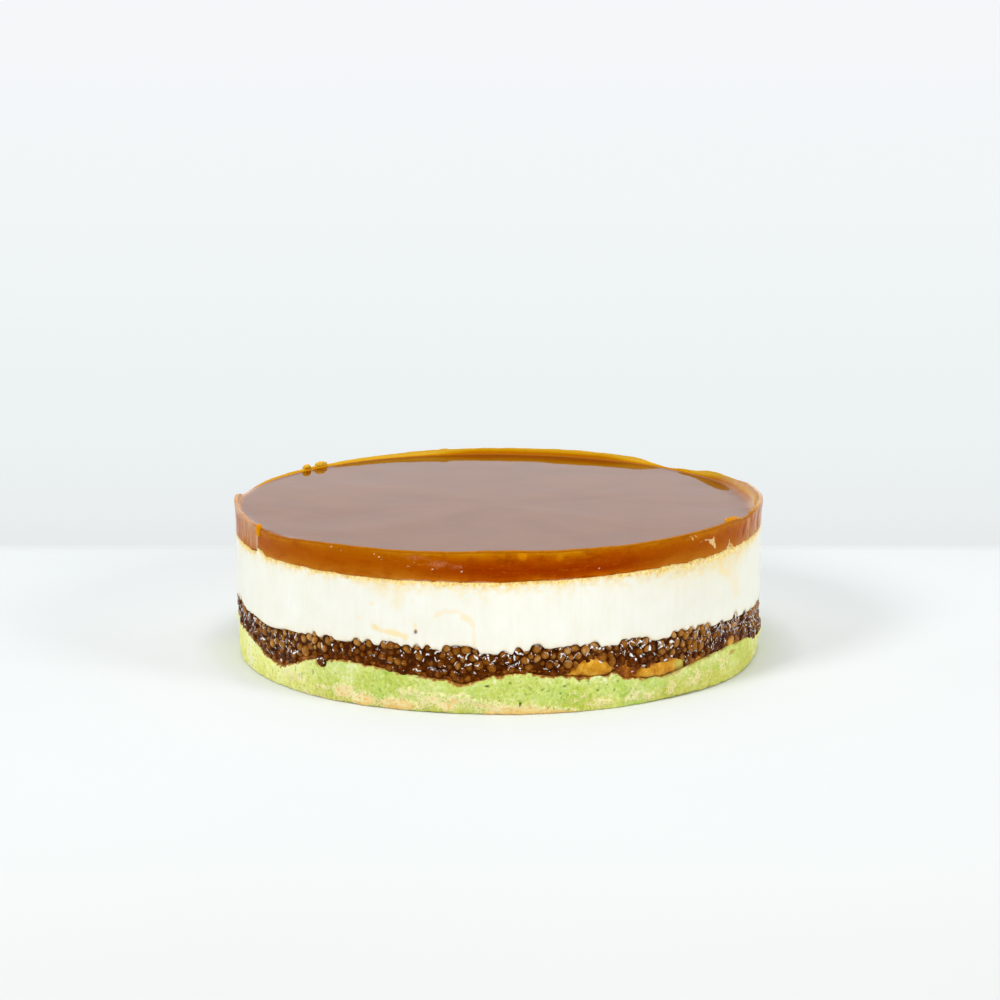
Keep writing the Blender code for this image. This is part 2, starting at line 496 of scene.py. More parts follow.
# ---------------------------------------------------------------- the sponge
# Crust patches at the side: (azimuth, height mm, half width in degrees, half height mm, how much)
CRUST = (
    (-34.0, 3.8, 3.9, 3.2, 1.9),
    (-29.6, 2.3, 3.9, 3.0, 2.0),
    (-21.6, 2.0, 6.6, 2.5, 2.1),
    (-18.5, 6.4, 4.0, 2.2, 0.5),
    (-13.5, 4.9, 5.4, 2.9, 1.1),
    (-8.6, 4.4, 5.2, 3.2, 1.1),
    (-11.0, 2.6, 2.6, 2.4, 1.5),
    (-4.0, 3.4, 5.2, 2.8, 0.9),
    (0.5, 2.5, 5.0, 2.2, 1.15),
    (6.4, 2.4, 4.2, 1.6, 0.95),
    (5.6, 0.5, 11.5, 2.7, 2.3),
    (15.0, 0.2, 4.5, 1.3, 1.1),
    (-40.0, 0.1, 9.0, 0.75, 1.1),
    (-50.0, 5.0, 3.0, 2.2, 0.42),
    (-39.5, 3.8, 2.6, 1.1, 0.55),
    (29.8, 3.4, 2.6, 2.4, 0.85),
    (33.5, 2.6, 3.6, 1.8, 0.62),
    (39.5, 4.2, 3.0, 2.6, 0.5),
    (22.0, 2.6, 4.0, 1.4, 0.5),
    (17.0, 5.2, 3.0, 2.0, 0.36),
    (46.0, 5.5, 3.6, 3.4, 0.5),
    (56.0, 7.5, 3.0, 3.0, 0.5),
    (96.0, 2.2, 6.0, 1.6, 0.9),
    (108.0, 4.2, 4.0, 2.2, 0.7),
    (131.0, 1.6, 8.0, 1.5, 1.0),
    (150.0, 4.6, 4.5, 2.4, 0.8),
    (171.0, 1.4, 7.0, 1.4, 1.1),
    (-172.0, 4.4, 4.0, 2.0, 0.7),
    (-158.0, 2.2, 5.0, 1.8, 0.9),
    (-131.0, 1.6, 7.0, 1.5, 1.0),
    (-117.0, 4.4, 4.5, 2.2, 0.8),
    (-98.0, 2.0, 5.0, 1.6, 0.8),
)
# Single holes: (azimuth, height mm, half width mm, half height mm, depth mm)
HOLES = (
    (4.5, 3.5, 0.45, 1.1, 1.4),
    (10.4, 1.9, 0.5, 0.55, 1.1),
    (-2.3, 9.5, 0.85, 0.5, 1.0),
    (-46.3, 6.4, 0.45, 0.4, 0.7),
    (2.4, 10.6, 0.45, 0.5, 0.7),
    (13.8, 9.0, 0.8, 0.35, 0.7),
    (17.0, 10.2, 0.6, 0.35, 0.6),
    (9.0, 8.2, 0.5, 0.4, 0.7),
    (13.0, 6.6, 0.5, 0.4, 0.6),
    (-36.4, 9.2, 0.4, 0.3, 0.5),
    (100.0, 7.0, 0.6, 0.8, 0.9),
    (139.0, 5.0, 0.6, 0.6, 0.9),
    (-120.0, 8.0, 0.7, 0.5, 0.9),
    (-165.0, 6.0, 0.5, 0.8, 0.9),
)


def spots(azimuth, z, table):
    """Soft ellipses on the side: 1 in the middle, 0 at the edge and less outside."""
    total = np.full(np.broadcast(azimuth, z).shape, -9.0)
    for centre, height, wide, tall, much in table:
        reach = np.sqrt((off(azimuth, centre) / wide) ** 2 + ((z - height) / tall) ** 2)
        total = np.maximum(total, much * (1.0 - reach))
    return total


def notch(az):
    """How much the caramel's lower corner is cut away beside its seam at the left, in mm."""
    x = off(az, -63.3)
    return 1.75 * np.clip(1.0 - x / 4.6, 0.0, 1.0) * smooth(-0.5, 0.1, x)


def caramel_foot(az):
    """Where the caramel's side ends on the mousse."""
    wall = round_points(az, RADIUS, 0.0)
    low = mousse_top(az) + 0.16 * value(wall, 4.5, 441) + 0.09 * value(wall, 1.7, 442)
    rough = window(az, -90.0, -58.0, 2.0) + 0.5 * window(az, -30.0, 30.0, 8.0) + 1.9 * window(az, 38.0, 72.0, 6.0)
    low = low + rough * (0.14 * value(wall, 1.1, 443) + 0.1 * value(wall, 0.7, 444))
    low = low - 0.45 * window(az, -75.0, -64.2, 1.5) * (0.6 + 0.6 * value(wall, 1.4, 445))
    return low + notch(az)


def sponge_edge(az):
    """The sponge's broken upper edge at the side."""
    wall = round_points(az, RADIUS, 0.0)
    top = sponge_top(az) + 0.38 * value(wall + 3.0, 3.2, 5) + 0.3 * value(wall, 1.3, 6)
    return top + waves(az, ((25.1, 1.5, 2.2), (-143.5, 1.6, 1.8), (-7.0, 3.0, -0.5)))


def build_sponge():
    n, m = 1560, 36
    az = np.linspace(-180.0, 180.0, n, endpoint=False)
    wall = round_points(az, RADIUS, 0.0)
    top = sponge_edge(az)
    lifted = 0.55 * window(az, 36.0, 58.0, 4.0) + 0.3 * window(az, -16.0, -1.0, 3.0)
    lifted = lifted + 0.5 * window(az, 150.0, 172.0, 5.0) + 0.45 * window(az, -125.0, -100.0, 5.0)
    foot = 0.04 + np.clip(value(wall, 2.6, 8), 0, 1) * 0.16
    foot = foot + lifted * np.clip(0.35 + 1.1 * value(wall + 9.0, 1.5, 9), 0.0, 1.0)
    share = np.linspace(1.0, 0.0, m)[:, None]
    z = foot + (top - foot) * share
    a = np.radians(az)
    crumb = 0.25 * np.sin(7 * a + 0.8) + 0.2 * np.sin(13 * a) * np.cos(5 * a)
    swell = -0.35 - 0.75 * (1.0 - share) ** 2 + crumb * 0.8
    swell = swell + 1.15 * window(az, 83.0, 93.0, 3.0) * window(z, 6.4, 10.4, 1.6)
    swell = swell - 0.3 * np.clip(1.0 - (1.0 - share) * (top - foot) / 0.5, 0, 1) ** 2
    swell = swell - 0.35 * np.clip(1.0 - share * (top - foot) / 0.6, 0, 1) ** 2
    base = round_points(az + 0 * z, RADIUS, z)
    broad = layers(base, 9.0, 20, 2)
    mid = layers(base, 2.8, 23, 2)
    fine = layers(base, 1.15, 27, 2)
    relief = 0.26 * broad + 0.13 * mid + 0.17 * fine
    near, second, tag = cells(base * (1.0, 1.0, 1.15), 2.5, 31)
    size = 0.22 + 0.4 * scramble((tag * 9999).astype(np.int64), n + 0 * near.astype(np.int64), 3 + 0 * near.astype(np.int64), 7)
    pore = np.where(tag < 0.3, np.clip(1.0 - near / size, 0, 1), 0.0)
    near2, second2, tag2 = cells(base, 1.25, 41)
    small = np.where(tag2 < 0.45, np.clip(1.0 - near2 / 0.36, 0, 1), 0.0)
    open_crumb = 0.35 + 0.65 * window(az, 1.0, 29.0, 4.0) * window(z, 4.0, 13.0, 1.5)
    open_crumb = np.maximum(open_crumb, 0.35 + 0.65 * np.clip(1.6 * value(wall + 60.0, 24.0, 44), 0, 1))
    hole = np.zeros_like(z)
    for centre, height, wide, tall, depth in HOLES:
        reach = np.sqrt(
            (np.radians(off(az, centre)) * RADIUS / wide) ** 2 + ((z - height) / tall) ** 2
        )
        hole = np.maximum(hole, depth * smooth(1.0, 0.35, reach + 0.2 * value(base, 0.6, 45)))
    patch = spots(az, z, CRUST) + 0.2 * layers(base + 50.0, 2.2, 61, 3, 0.6)
    tan = np.clip(0.35 + 0.5 * layers(base + 80.0, 5.0, 71, 2), 0, 1)
    tan = np.clip(tan + 0.7 * smooth(1.9, 0.7, z), 0, 1)
    relief = relief - open_crumb * (0.6 * pore + 0.26 * small) - hole
    relief = relief + 0.22 * smooth(0.1, 0.5, patch)
    radius = np.minimum(RADIUS + swell + relief, RADIUS + 0.45)
    tone = 0.5 + 0.2 * layers(base + 30.0, 8.0, 51, 2, 0.6) + 0.08 * fine
    tone = tone + 0.1 * np.exp(-((top - z - 1.2) / 1.3) ** 2)
    yellow = smooth(7.5, 1.5, z) * (0.55 + 0.45 * value(wall + 15.0, 12.0, 57))
    yellow = yellow + 0.6 * window(az, -90.0, -40.0, 8.0) + 0.5 * window(az, 34.0, 90.0, 8.0)
    yellow = np.clip(yellow + 0.2 * layers(base, 4.0, 58, 2), 0, 1)
    wicked = 0.1 + 0.5 * value(wall + 21.0, 6.0, 80)
    fringe = layers(base, 1.2, 81, 2, 0.7)
    stain = smooth(1.15, -0.35, (1.0 - share) * (top - foot) - wicked - 0.55 * fringe)
    stain = stain * (1.0 - 0.6 * window(az, 30.0, 74.0, 4.0) - 0.25 * window(az, -34.0, -16.0, 5.0))
    for centre, height, wide, tall, much in (
        (-7.8, 10.4, 1.8, 1.5, 0.85),
        (-16.4, 11.6, 1.6, 0.7, 0.6),
        (-40.6, 11.6, 1.5, 1.5, 0.55),
        (-27.0, 9.0, 0.4, 0.7, 0.45),
        (18.4, 7.6, 0.9, 0.6, 0.3),
        (60.0, 9.5, 2.0, 1.2, 0.5),
        (-150.0, 11.5, 5.0, 2.0, 0.8),
        (118.0, 11.0, 5.0, 2.0, 0.8),
    ):
        reach = np.sqrt((off(az, centre) / wide) ** 2 + ((z - height) / tall) ** 2)
        stain = np.maximum(stain, much * smooth(1.1, 0.4, reach + 0.3 * value(base, 1.2, 83)))
    side = round_points(az + 0 * z, radius, z)

    rings_top = [(30.0, -0.4), (70.0, -0.4), (84.0, -0.4), (86.6, -0.3)]
    above = [
        round_points(az, r, sponge_top(az, r) + dz) for r, dz in rings_top
    ]
    under = [
        round_points(az, radius[-1] - 0.35, foot * 0.4),
        round_points(az, RADIUS - 3.4, 0.0),
        round_points(az, 70.0, 0.0),
        round_points(az, 30.0, 0.0),
    ]
    rows = np.concatenate([np.stack(above), side, np.stack(under)])
    flat_top, flat_low = np.zeros((len(above), n)), np.zeros((len(under), n))
    around = lambda mid_part, t=0.0, b=0.0: np.concatenate([flat_top + t, mid_part + 0 * z, flat_low + b])
    attributes = {
        "tone": around(tone, 0.5, 0.5),
        "yellow": around(yellow, 0.5, 0.8),
        "hollow_shade": around(np.clip(open_crumb * (1.0 * pore + 0.4 * small) + 0.9 * hole, 0, 1), 0.2, 0.1),
        "open_crumb": around(open_crumb, 0.5, 0.5),
        "crust": around(np.clip(0.5 + 0.55 * patch, 0, 1), 0.0, 0.95),
        "fair_and_painted_light": around(window(az, -96.0, -46.0, 9.0) + 0.5 * window(az, 76.0, 100.0, 8.0), 0.0, 0.0),
        "tan": around(tan, 0.5, 0.8),
        "stain": around(stain, 0.6, 0.0),
    }
    sections = (
        (0, len(above) - 1, "disc", (0.76, 0.02, 0.98, 0.24), 1),
        (len(above) - 1, len(above) + m, "strip", (0.0, 0.26, 1.0, 1.0), 6),
        (len(above) + m, len(rows) - 1, "disc", (0.02, 0.02, 0.24, 0.24), 1),
    )
    obj = closed_shell(
        "sponge_crumb", rows, attributes, sections, (0, 0, SPONGE_HEIGHT - 0.4), (0, 0, 0)
    )
    obj.data.materials.append(sponge_paint())
    return obj


def sponge_paint():
    p = Paint("pandan_sponge_crumb", 0.85)
    grain = p.noise(0.42, 3.0, 0.7)
    crumbs = p.noise(1.3, 2.0, 0.6)
    soft = p.noise(3.6, 2.0, 0.5)
    wide = p.noise(9.0, 2.0, 0.5)
    upright = p.noise(1.8, 2.0, 0.55, p.stretched((1.0, 1.0, 0.3)))
    tone = p.total(p.attribute("tone"), (grain, 0.95), (crumbs, 0.9), (soft, 0.8), (upright, 0.2))
    green = p.ramp(
        tone,
        (
            (0.0, srgb(182, 203, 76)),
            (0.25, srgb(196, 211, 90)),
            (0.5, srgb(212, 223, 113)),
            (0.75, srgb(227, 234, 142)),
            (1.0, srgb(246, 247, 206)),
        ),
    )
    fresh = p.ramp(wide, ((0.48, 0.0), (0.62, 0.6)))
    green = p.mix(fresh, green, p.ramp(tone, ((0.1, srgb(174, 205, 84)), (0.5, srgb(196, 220, 112)), (0.9, srgb(222, 234, 154)))))
    warm = p.ramp(tone, ((0.0, srgb(184, 176, 52)), (0.4, srgb(214, 209, 92)), (0.75, srgb(231, 225, 128)), (1.0, srgb(246, 240, 186))))
    warm_much = p.ramp(p.total(p.attribute("yellow"), (soft, 0.9), (crumbs, 0.5)), ((0.3, 0.0), (0.9, 0.8)))
    green = p.mix(warm_much, green, warm)
    # The sponge's left and right sides, lit at a slant, are painted lighter and yellower: partly the crumb's own
    # colour, partly painted light.
    fair_and_painted_light = p.ramp(tone, ((0.1, srgb(236, 236, 124)), (0.5, srgb(250, 250, 158)), (0.9, srgb(255, 253, 212))))
    green = p.mix(p.math("MULTIPLY", p.attribute("fair_and_painted_light"), 0.95), green, fair_and_painted_light)
    fleck = p.noise(0.75, 3.0, 0.65, p.bent(1.6, 0.8))
    green = p.mix(p.ramp(fleck, ((0.56, 0.0), (0.68, 0.55))), green, srgb(240, 247, 204))
    # small open pores where the crumb is broken, painted darker green as painted shade inside them
    pores = p.ramp(p.noise(1.0, 3.0, 0.65, p.bent(2.4, 1.2)), ((0.33, 1.0), (0.4, 0.0)))
    pores = p.math("MULTIPLY", pores, p.ramp(p.attribute("open_crumb"), ((0.3, 0.12), (0.95, 0.9))))
    deep = p.mix(pores, green, srgb(138, 172, 58))
    # painted shade: the side's holes and pores are painted dark green
    deep = p.mix(p.attribute("hollow_shade"), deep, srgb(98, 134, 34))
    # the crust's lace: cream threads where it is thin, solid where it is thick
    threads = p.ramp(p.voronoi(1.6, "DISTANCE_TO_EDGE", p.bent(1.3, 1.9)), ((0.06, 1.0), (0.17, 0.0)))
    zone = p.total(p.attribute("crust"), (grain, 0.3), (crumbs, 0.45), (soft, 0.25))
    solid = p.ramp(zone, ((0.84, 0.0), (0.9, 1.0)))
    laced = p.math("MULTIPLY", threads, p.ramp(zone, ((0.54, 0.0), (0.64, 1.0))))
    crust = p.math("MAXIMUM", solid, laced)
    body = p.math("MULTIPLY", p.attribute("tan"), p.math("MULTIPLY_ADD", solid, 0.65, 0.35))
    cream = p.mix(body, srgb(250, 240, 184), srgb(246, 206, 120))
    cream = p.mix(p.ramp(grain, ((0.42, 0.0), (0.7, 0.45))), cream, srgb(252, 238, 184))
    cream = p.mix(p.math("MULTIPLY", solid, p.ramp(crumbs, ((0.34, 0.8), (0.5, 0.0)))), cream, srgb(238, 190, 98))
    colour = p.mix(crust, deep, cream)
    # palm sugar that soaked down from the pearls
    wet = p.total(p.attribute("stain"), (grain, 0.5), (crumbs, 0.45))
    soaked = p.ramp(wet, ((0.3, srgb(208, 180, 92)), (0.6, srgb(182, 126, 46)), (0.85, srgb(148, 86, 22)), (1.05, srgb(112, 56, 10))))
    stain = p.ramp(wet, ((0.14, 0.0), (0.55, 0.95)))
    colour = p.mix(stain, colour, soaked)
    p.to("Base Color", colour)
    p.to("Roughness", p.math("MULTIPLY_ADD", stain, -0.35, p.math("MULTIPLY_ADD", grain, 0.1, 0.8)))
    p.shader.inputs["Specular IOR Level"].default_value = 0.15
    height = p.math("ADD", grain, p.math("MULTIPLY", crumbs, 1.4))
    height = p.math("ADD", height, p.math("MULTIPLY", pores, -0.8))
    p.bump(p.math("ADD", height, p.math("MULTIPLY", crust, 0.5)), 0.24, 0.7)
    return p.mat


# ---------------------------------------------------------------- the soaked skin under the pearls
# Soft orange lobes: (azimuth, middle height mm, half width in degrees, half height mm, tilt in mm
# for each degree, how light)
LOBES = (
    (20.3, 14.3, 4.4, 3.0, -0.12, 1.0),
    (16.6, 13.2, 2.2, 1.2, 0.25, 0.45),
    (35.6, 10.9, 5.8, 2.5, 0.05, 1.05),
    (40.8, 11.9, 2.2, 2.0, 0.2, 0.7),
    (60.2, 12.6, 1.8, 2.6, 0.5, 0.7),
    (117.0, 14.2, 5.0, 3.2, 0.0, 1.0),
    (125.0, 13.4, 3.0, 2.8, 0.0, 0.7),
    (-150.5, 13.4, 5.6, 3.2, -0.05, 1.0),
    (-141.5, 14.0, 2.8, 2.8, 0.1, 0.6),
)


def build_soaked():
    n, m = 1240, 26
    az = np.linspace(-180.0, 180.0, n, endpoint=False)
    low, high = sponge_edge(az) - 0.8, np.maximum(pearls_floor(az), sponge_edge(az)) + 1.1
    share = np.linspace(1.0, 0.0, m)[:, None]
    z = low + (high - low) * share
    base = round_points(az + 0 * z, RADIUS, z)
    wobble = layers(base, 3.0, 90, 2)
    lobe, near = np.zeros_like(z), np.zeros_like(z)
    for centre, height, wide, tall, tilt, light in LOBES:
        x = off(az, centre)
        reach = (x / wide) ** 2 + ((z - height - tilt * x) / tall) ** 2 + 0.3 * wobble
        lobe = np.maximum(lobe, light * np.clip(1.0 - reach, 0.0, 1.0) ** 0.7)
        near = np.maximum(near, smooth(1.5, 0.9, np.abs(x / wide) + 0 * z))
    fibre = layers(base * (1.0, 1.0, 0.35), 0.9, 93, 2)
    above = z - sponge_edge(az)
    tuck = 0.5 * smooth(0.4, -0.6, above)
    broken = np.clip(0.05 + 1.9 * value(base, 1.2, 97), 0, 1)
    near = near * (1.0 - window(az, 43.0, 75.0, 1.0))
    dent = 0.35 * smooth(0.45, 0.05, np.abs(above - 0.1) + 0.3 * value(base, 1.2, 96)) * broken * near
    radius = RADIUS - 0.95 + 0.85 * lobe + 0.2 * wobble + 0.08 * fibre - tuck - dent
    radius = pressed(radius, RADIUS - 0.05, 0.3)
    side = round_points(az + 0 * z, radius, z)
    over = [round_points(az, r, SPONGE_HEIGHT + 0.4 + 0 * az) for r in (30.0, 70.0)]
    over.append(round_points(az, 84.0, high))
    under = [round_points(az, 84.0, low), round_points(az, 70.0, SPONGE_HEIGHT + 0.05 + 0 * az)]
    under.append(round_points(az, 30.0, SPONGE_HEIGHT + 0.05 + 0 * az))
    rows = np.concatenate([np.stack(over), side, np.stack(under)])
    flat = np.zeros((3, n))
    attributes = {
        "lobe": np.concatenate([flat, lobe + 0.12 * wobble, flat]),
        "crack": np.concatenate([flat, np.clip(dent / 0.35, 0, 1), flat]),
        "pale": np.concatenate([flat, np.maximum(spots(az, z, ((41.6, 11.4, 2.4, 2.6, 1.2),)), 0), flat]),
    }
    sections = (
        (0, 2, "disc", (0.76, 0.02, 0.98, 0.24), 1),
        (2, 3 + m, "strip", (0.0, 0.26, 1.0, 1.0), 6),
        (3 + m, len(rows) - 1, "disc", (0.02, 0.02, 0.24, 0.24), 1),
    )
    obj = closed_shell(
        "soaked_skin", rows, attributes, sections, (0, 0, SPONGE_HEIGHT + 0.4), (0, 0, SPONGE_HEIGHT + 0.05)
    )
    p = Paint("palm_sugar_soaked_sponge", 0.25)
    grain = p.noise(0.6, 3.0, 0.6)
    upright = p.noise(0.9, 2.0, 0.6, p.stretched((1.0, 1.0, 0.3)))
    broad = p.noise(3.0, 2.0, 0.5)
    light = p.ramp(
        p.total(broad, (upright, 0.25), (grain, 0.6)),
        ((0.28, srgb(190, 118, 10)), (0.5, srgb(211, 147, 31)), (0.72, srgb(230, 178, 62))),
    )
    dark = p.ramp(
        p.total(broad, (grain, 0.8)),
        ((0.3, srgb(104, 44, 0)), (0.48, srgb(136, 66, 2)), (0.66, srgb(170, 98, 8)), (0.8, srgb(198, 130, 26))),
    )
    colour = p.mix(p.ramp(p.total(p.attribute("lobe"), (broad, 0.3)), ((0.06, 0.0), (0.62, 1.0))), dark, light)
    colour = p.mix(p.attribute("pale"), colour, srgb(204, 194, 84))
    colour = p.mix(p.math("MULTIPLY", p.attribute("crack"), 0.8), colour, srgb(84, 44, 2))
    p.to("Base Color", colour)
    p.to("Roughness", p.math("MULTIPLY_ADD", broad, 0.3, 0.06))
    p.shader.inputs["Specular IOR Level"].default_value = 0.3
    p.shader.inputs["Specular Tint"].default_value = (1.0, 0.7, 0.35, 1.0)
    p.bump(p.math("ADD", grain, p.math("MULTIPLY", upright, 1.0)), 0.2, 0.8)
    obj.data.materials.append(p.mat)
    return obj


# ---------------------------------------------------------------- the pearls and their syrup
def throw_pearls(rng, floor_of, top_of, sizes, spacing, deep):
    """Places pearls at random between two edges, largest first, none too near another. Returns
    rows of azimuth, height, radius, and how far the middle is behind the cake's side."""
    placed = []
    grid = {}
    cell = 4.4
    around = 2 * math.pi * RADIUS
    for size, tries in sizes:
        az = rng.uniform(-180.0, 180.0, tries)
        low, high = floor_of(az) + 0.35 * size, top_of(az) - 0.02 * size
        z = low + (high - low) * rng.uniform(0.0, 1.0, tries)
        grow = size * rng.uniform(0.9, 1.1, tries)
        for a, h, s, ok in zip(az, z, grow, high > low):
            if not ok:
                continue
            x = math.radians(a + 180.0) * RADIUS
            cx, cz = int(x / cell), int(h / cell)
            last = int(around / cell)
            free = True
            for dx in (-1, 0, 1):
                for dz in (-1, 0, 1):
                    for ox, oz, os_ in grid.get(((cx + dx) % (last + 1), cz + dz), ()):
                        gap = abs(x - ox)
                        gap = min(gap, around - gap)
                        if gap * gap + (h - oz) ** 2 < (spacing * (s + os_)) ** 2:
                            free = False
                            break
                    if not free:
                        break
                if not free:
                    break
            if free:
                grid.setdefault((cx, cz), []).append((x, h, s))
                placed.append((a, h, s, s * rng.uniform(*deep)))
    return np.array(placed)


def build_pearls():
    rng = np.random.default_rng(20)
    sizes = ((2.0, 700), (1.82, 4000), (1.62, 9000), (1.36, 12000), (1.1, 9000))
    front = throw_pearls(rng, pearls_floor, pearls_top, sizes, 0.69, (0.8, 1.45))
    back_sizes = ((1.6, 1500), (1.4, 1500))
    back = throw_pearls(
        rng,
        lambda a: pearls_floor(a) - 0.4,
        lambda a: pearls_top(a) + 0.2,
        back_sizes,
        1.1,
        (1.9, 2.2),
    )
    extra = np.array(
        [
            (-40.1, 12.4, 2.15, 1.1),
            (-38.8, 14.0, 1.5, 1.1),
            (-8.2, 11.4, 1.2, 1.05),
            (-16.6, 13.2, 1.0, 0.9),
            (43.6, 11.0, 1.0, 0.9),
        ]
    )
    rows = [(front, True), (back, False), (extra, True)]
    points, quads_all, tris_all, tints_and_painted_light, sunk_shades, reds, milks_and_painted_highlights = [], [], [], [], [], [], []
    start = 0
    for table, outer in rows:
        local, quads, tris = unit_sphere(12, 9) if outer else unit_sphere(8, 6)
        for k, (centre, height, size, inside) in enumerate(table):
            turn = rng.uniform(0, math.pi)
            squash = rng.uniform(0.76, 1.0)
            c, s = math.cos(turn), math.sin(turn)
            x, y, z = local.T
            u, w = c * x + s * z, -s * x + c * z
            u, w = u * squash, w / squash**0.5
            x, z = c * u - s * w, s * u + c * w
            body = np.stack([x, y * rng.uniform(0.92, 1.04), z], -1) * size
            if table is extra and k == 0:
                body *= (1.16, 1.0, 1.0)
            az, r, level = bend_round(body, centre, RADIUS - inside, height)
            wall = RADIUS + (0.5 if table is extra else rng.uniform(-0.08, 0.14))
            r = pressed(r, wall, rng.uniform(0.25, 0.5))
            spot = round_points(az, r, level)
            spot = spot + 0.1 * size * value(spot, 1.5, 130)[:, None] * body / size
            points.append(spot)
            quads_all.append(quads + start)
            tris_all.append(tris + start)
            start += len(local)
            here = np.array([centre])
            low, high = (f(here)[0] for f in (pearls_floor, pearls_top))
            rise = np.clip((height - low) / (high - low), 0, 1)
            where = round_points(here, RADIUS, height)
            slow = value(where + 9.0, 13.0, 133)[0] + 0.5 * value(where, 6.0, 134)[0]
            light = 0.14 + 0.34 * rise + 0.26 * slow + 0.54 * (rng.beta(1.5, 2.2) - 0.4)
            light += 0.3 * window(here, -47.0, -34.0, 3.0)[0] * rise
            light += 0.12 * window(here, -30.0, -22.0, 3.0)[0] * rise
            light += 0.16 * window(here, 4.0, 46.0, 6.0)[0] * rise
            light -= 0.08 * window(here, -90.0, -52.0, 3.0)[0]
            if table is extra:
                light = 0.0 if k == 0 else 0.2
            light = light if outer else 0.5 * light
            # Painted light: each pearl is painted lighter in its lower half, as if light glowed through it, lighter
            # in the middle of its outer face and darker towards its rim.
            under = 0.1 * np.clip(-local[:, 2], -0.4, 1) + 0.32 * (np.clip(-local[:, 1], 0, 1) ** 2 - 0.5)
            tints_and_painted_light.append(np.clip(light + under, 0, 1) + 0 * local[:, 0])
            # Painted shade: the further a pearl's surface lies behind the side, the darker it is painted, as if
            # shaded in the gaps.
            sunk_shades.append(np.clip((RADIUS - r) / 1.9, 0, 1))
            red = 0.0 if table is extra else smooth(0.34, 0.0, rise) * rng.uniform(0.2, 1.0)
            reds.append(np.full(len(local), red))
            wept = 0.22 + 0.5 * rise + (0.4 if centre > 0 else -0.15) * smooth(42.0, 62.0, abs(centre)) - 0.5 * window(here, -50.0, -20.0, 3.0)[0]
            milk_and_painted_highlight = max(0.0, rng.normal(wept - 0.25, 0.34)) if outer else 0.0
            # Milk on the pearls' upper sides; its white caps are also painted highlights.
            up = smooth(-0.1, 0.9, local[:, 2] + 0.25 * local[:, 0] * rng.uniform(-1, 1))
            milks_and_painted_highlights.append(np.clip(milk_and_painted_highlight * up, 0, 1))
    obj = make_mesh(
        "pearls",
        np.concatenate(points),
        [np.concatenate(quads_all), np.concatenate(tris_all)],
        {
            "tint_and_painted_light": np.concatenate(tints_and_painted_light),
            "sunk_shade": np.concatenate(sunk_shades),
            "red": np.concatenate(reds),
            "milk_and_painted_highlight": np.concatenate(milks_and_painted_highlights),
        },
    )
    p = Paint("sago_pearl", 0.1)
    haze = p.noise(1.5, 2.0, 0.5)
    mottle = p.noise(0.5, 2.0, 0.6)
    # the pearls' tint carries painted light: glow in their lower halves, darker rims
    tint_and_painted_light = p.total(p.attribute("tint_and_painted_light"), (haze, 0.8), (mottle, 0.5))
    colour = p.ramp(
        tint_and_painted_light,
        (
            (0.0, srgb(66, 22, 0)),
            (0.2, srgb(106, 52, 4)),
            (0.42, srgb(142, 85, 22)),
            (0.68, srgb(168, 112, 46)),
            (1.0, srgb(200, 150, 86)),
        ),
    )
    colour = p.mix(p.math("MULTIPLY", p.attribute("red"), 0.75), colour, p.ramp(haze, ((0.35, srgb(78, 30, 0)), (0.65, srgb(126, 66, 10)))))
    # painted shade on the pearls' sunk surfaces
    colour = p.mix(p.ramp(p.attribute("sunk_shade"), ((0.24, 0.0), (0.74, 1.0))), colour, srgb(56, 17, 0))
    # white caps on the pearls: coconut milk and painted highlights
    milk_and_painted_highlight = p.ramp(p.total(p.attribute("milk_and_painted_highlight"), (mottle, 1.1), (haze, 0.5)), ((0.42, 0.0), (0.8, 0.85)))
    colour = p.mix(milk_and_painted_highlight, colour, srgb(236, 232, 230))
    p.to("Base Color", colour)
    p.to("Roughness", p.math("MULTIPLY_ADD", haze, 0.16, 0.02))
    p.shader.inputs["Specular IOR Level"].default_value = 0.1
    p.shader.inputs["Specular Tint"].default_value = (1.0, 0.6, 0.25, 1.0)
    p.bump(p.noise(0.8, 2.0, 0.5), 0.25, 0.9)
    obj.data.materials.append(p.mat)
    return obj, np.concatenate([front, extra])


